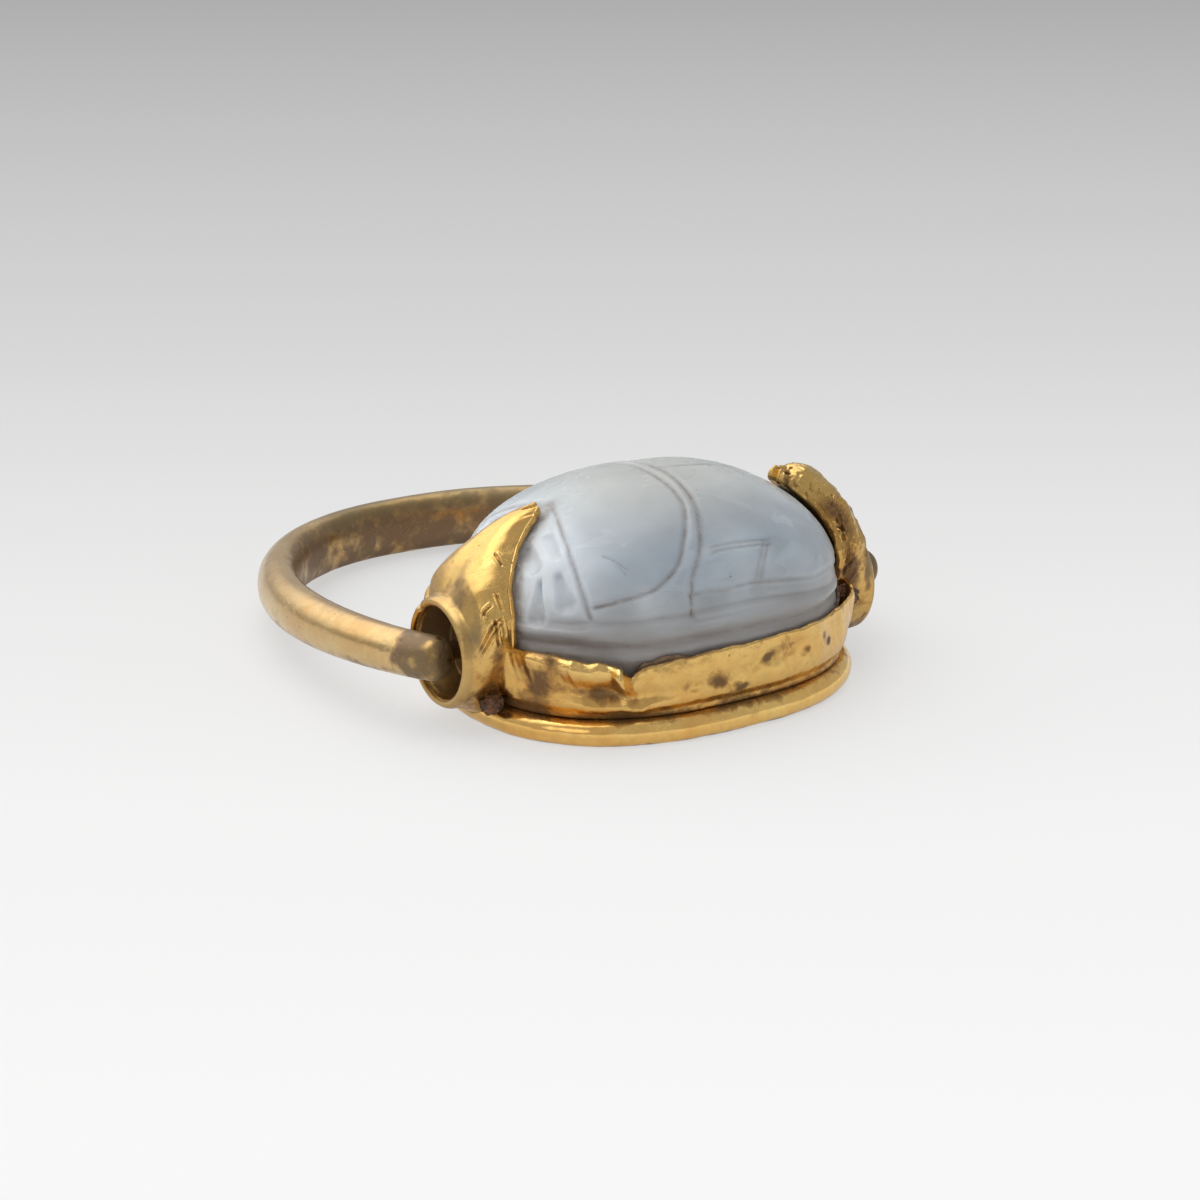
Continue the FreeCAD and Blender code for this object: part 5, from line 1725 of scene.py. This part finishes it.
def make_world(stage):
    world = bpy.data.worlds.new("Studio")
    world.use_nodes = True
    world.node_tree.nodes.clear()
    tree = Tree(world.node_tree)
    direction = tree.value("ShaderNodeTexCoord", output="Generated")
    toward = tree.value("ShaderNodeVectorMath", {"operation": "DOT_PRODUCT"},
                        {0: direction, 1: SOFT_LIGHT}, "Value")
    tone = tree.mix(toward.between(*SOFT_LIGHT_EDGE), SKY_TONE, SOFT_LIGHT_TONE)
    light = tree.value("ShaderNodeBackground", None, {"Color": tone, "Strength": stage.sky})
    tree.node("ShaderNodeOutputWorld", None, {"Surface": light})
    bpy.context.scene.world = world
    bpy.context.scene.view_settings.view_transform = "Standard"


def make_stage(stage):
    make_camera()
    make_floor(stage)
    make_world(stage)
    for name, place, width, share_of_power in LAMPS:
        make_lamp(name, place, width, stage.lamp * share_of_power)


# Operators


class RingOperator(bpy.types.Operator):
    bl_options = {"REGISTER", "UNDO"}


class RING_OT_stage(RingOperator):
    """Makes the camera, the pale floor and the light"""
    bl_idname = "ring.make_stage"
    bl_label = "Stage"

    def execute(self, context):
        make_stage(context.scene.ring_stage)
        return {"FINISHED"}


class RING_OT_stone(RingOperator):
    """Makes the carved chalcedony stone"""
    bl_idname = "ring.make_stone"
    bl_label = "Carved stone"

    def execute(self, context):
        make_stone(context.scene.ring_stone)
        return {"FINISHED"}


class RING_OT_caps(RingOperator):
    """Makes the two leaf-shaped end caps with their bell mouths"""
    bl_idname = "ring.make_caps"
    bl_label = "End caps"

    def execute(self, context):
        make_caps(context.scene.ring_setting, context.scene.ring_stone)
        return {"FINISHED"}


class RING_OT_walls(RingOperator):
    """Makes the torn sheet walls and the brown filling behind them"""
    bl_idname = "ring.make_walls"
    bl_label = "Walls and filling"

    def execute(self, context):
        make_walls(context.scene.ring_setting, context.scene.ring_stone)
        make_fillings(context.scene.ring_setting, context.scene.ring_stone)
        return {"FINISHED"}


class RING_OT_wires(RingOperator):
    """Makes the rim wire and the swivel wire"""
    bl_idname = "ring.make_wires"
    bl_label = "Wires"

    def execute(self, context):
        make_rim(context.scene.ring_setting)
        make_pivot()
        return {"FINISHED"}


class RING_OT_solder(RingOperator):
    """Makes the rough solder lumps at the feet of the caps"""
    bl_idname = "ring.make_solder"
    bl_label = "Solder"

    def execute(self, context):
        make_solder(context.scene.ring_setting)
        return {"FINISHED"}


class RING_OT_hoop(RingOperator):
    """Makes the tapering hoop"""
    bl_idname = "ring.make_hoop"
    bl_label = "Hoop"

    def execute(self, context):
        make_hoop(context.scene.ring_hoop)
        return {"FINISHED"}


class RING_PT_panel(bpy.types.Panel):
    bl_label = "Swivel ring"
    bl_idname = "RING_PT_panel"
    bl_space_type = "VIEW_3D"
    bl_region_type = "UI"
    bl_category = "Ring"

    def draw(self, context):
        layout = self.layout
        for kind in OPERATORS:
            layout.operator(kind.bl_idname)
        for name in SETTINGS:
            box = layout.box()
            group = getattr(context.scene, name)
            for key in group.bl_rna.properties.keys():
                if key not in ("rna_type", "name"):
                    box.prop(group, key)


OPERATORS = (RING_OT_stage, RING_OT_stone, RING_OT_caps, RING_OT_walls, RING_OT_wires, RING_OT_solder,
             RING_OT_hoop)
SETTINGS = {"ring_stone": StoneSettings, "ring_setting": SettingSettings, "ring_hoop": HoopSettings,
            "ring_stage": StageSettings}


def register():
    for kind in (*SETTINGS.values(), *OPERATORS, RING_PT_panel):
        bpy.utils.register_class(kind)
    for name, kind in SETTINGS.items():
        setattr(bpy.types.Scene, name, PointerProperty(type=kind))


def unregister():
    for name in SETTINGS:
        delattr(bpy.types.Scene, name)
    for kind in reversed((*SETTINGS.values(), *OPERATORS, RING_PT_panel)):
        bpy.utils.unregister_class(kind)


def main():
    register()
    for kind in OPERATORS:
        group, action = kind.bl_idname.split(".")
        getattr(getattr(bpy.ops, group), action)()


if __name__ == "__main__":
    main()
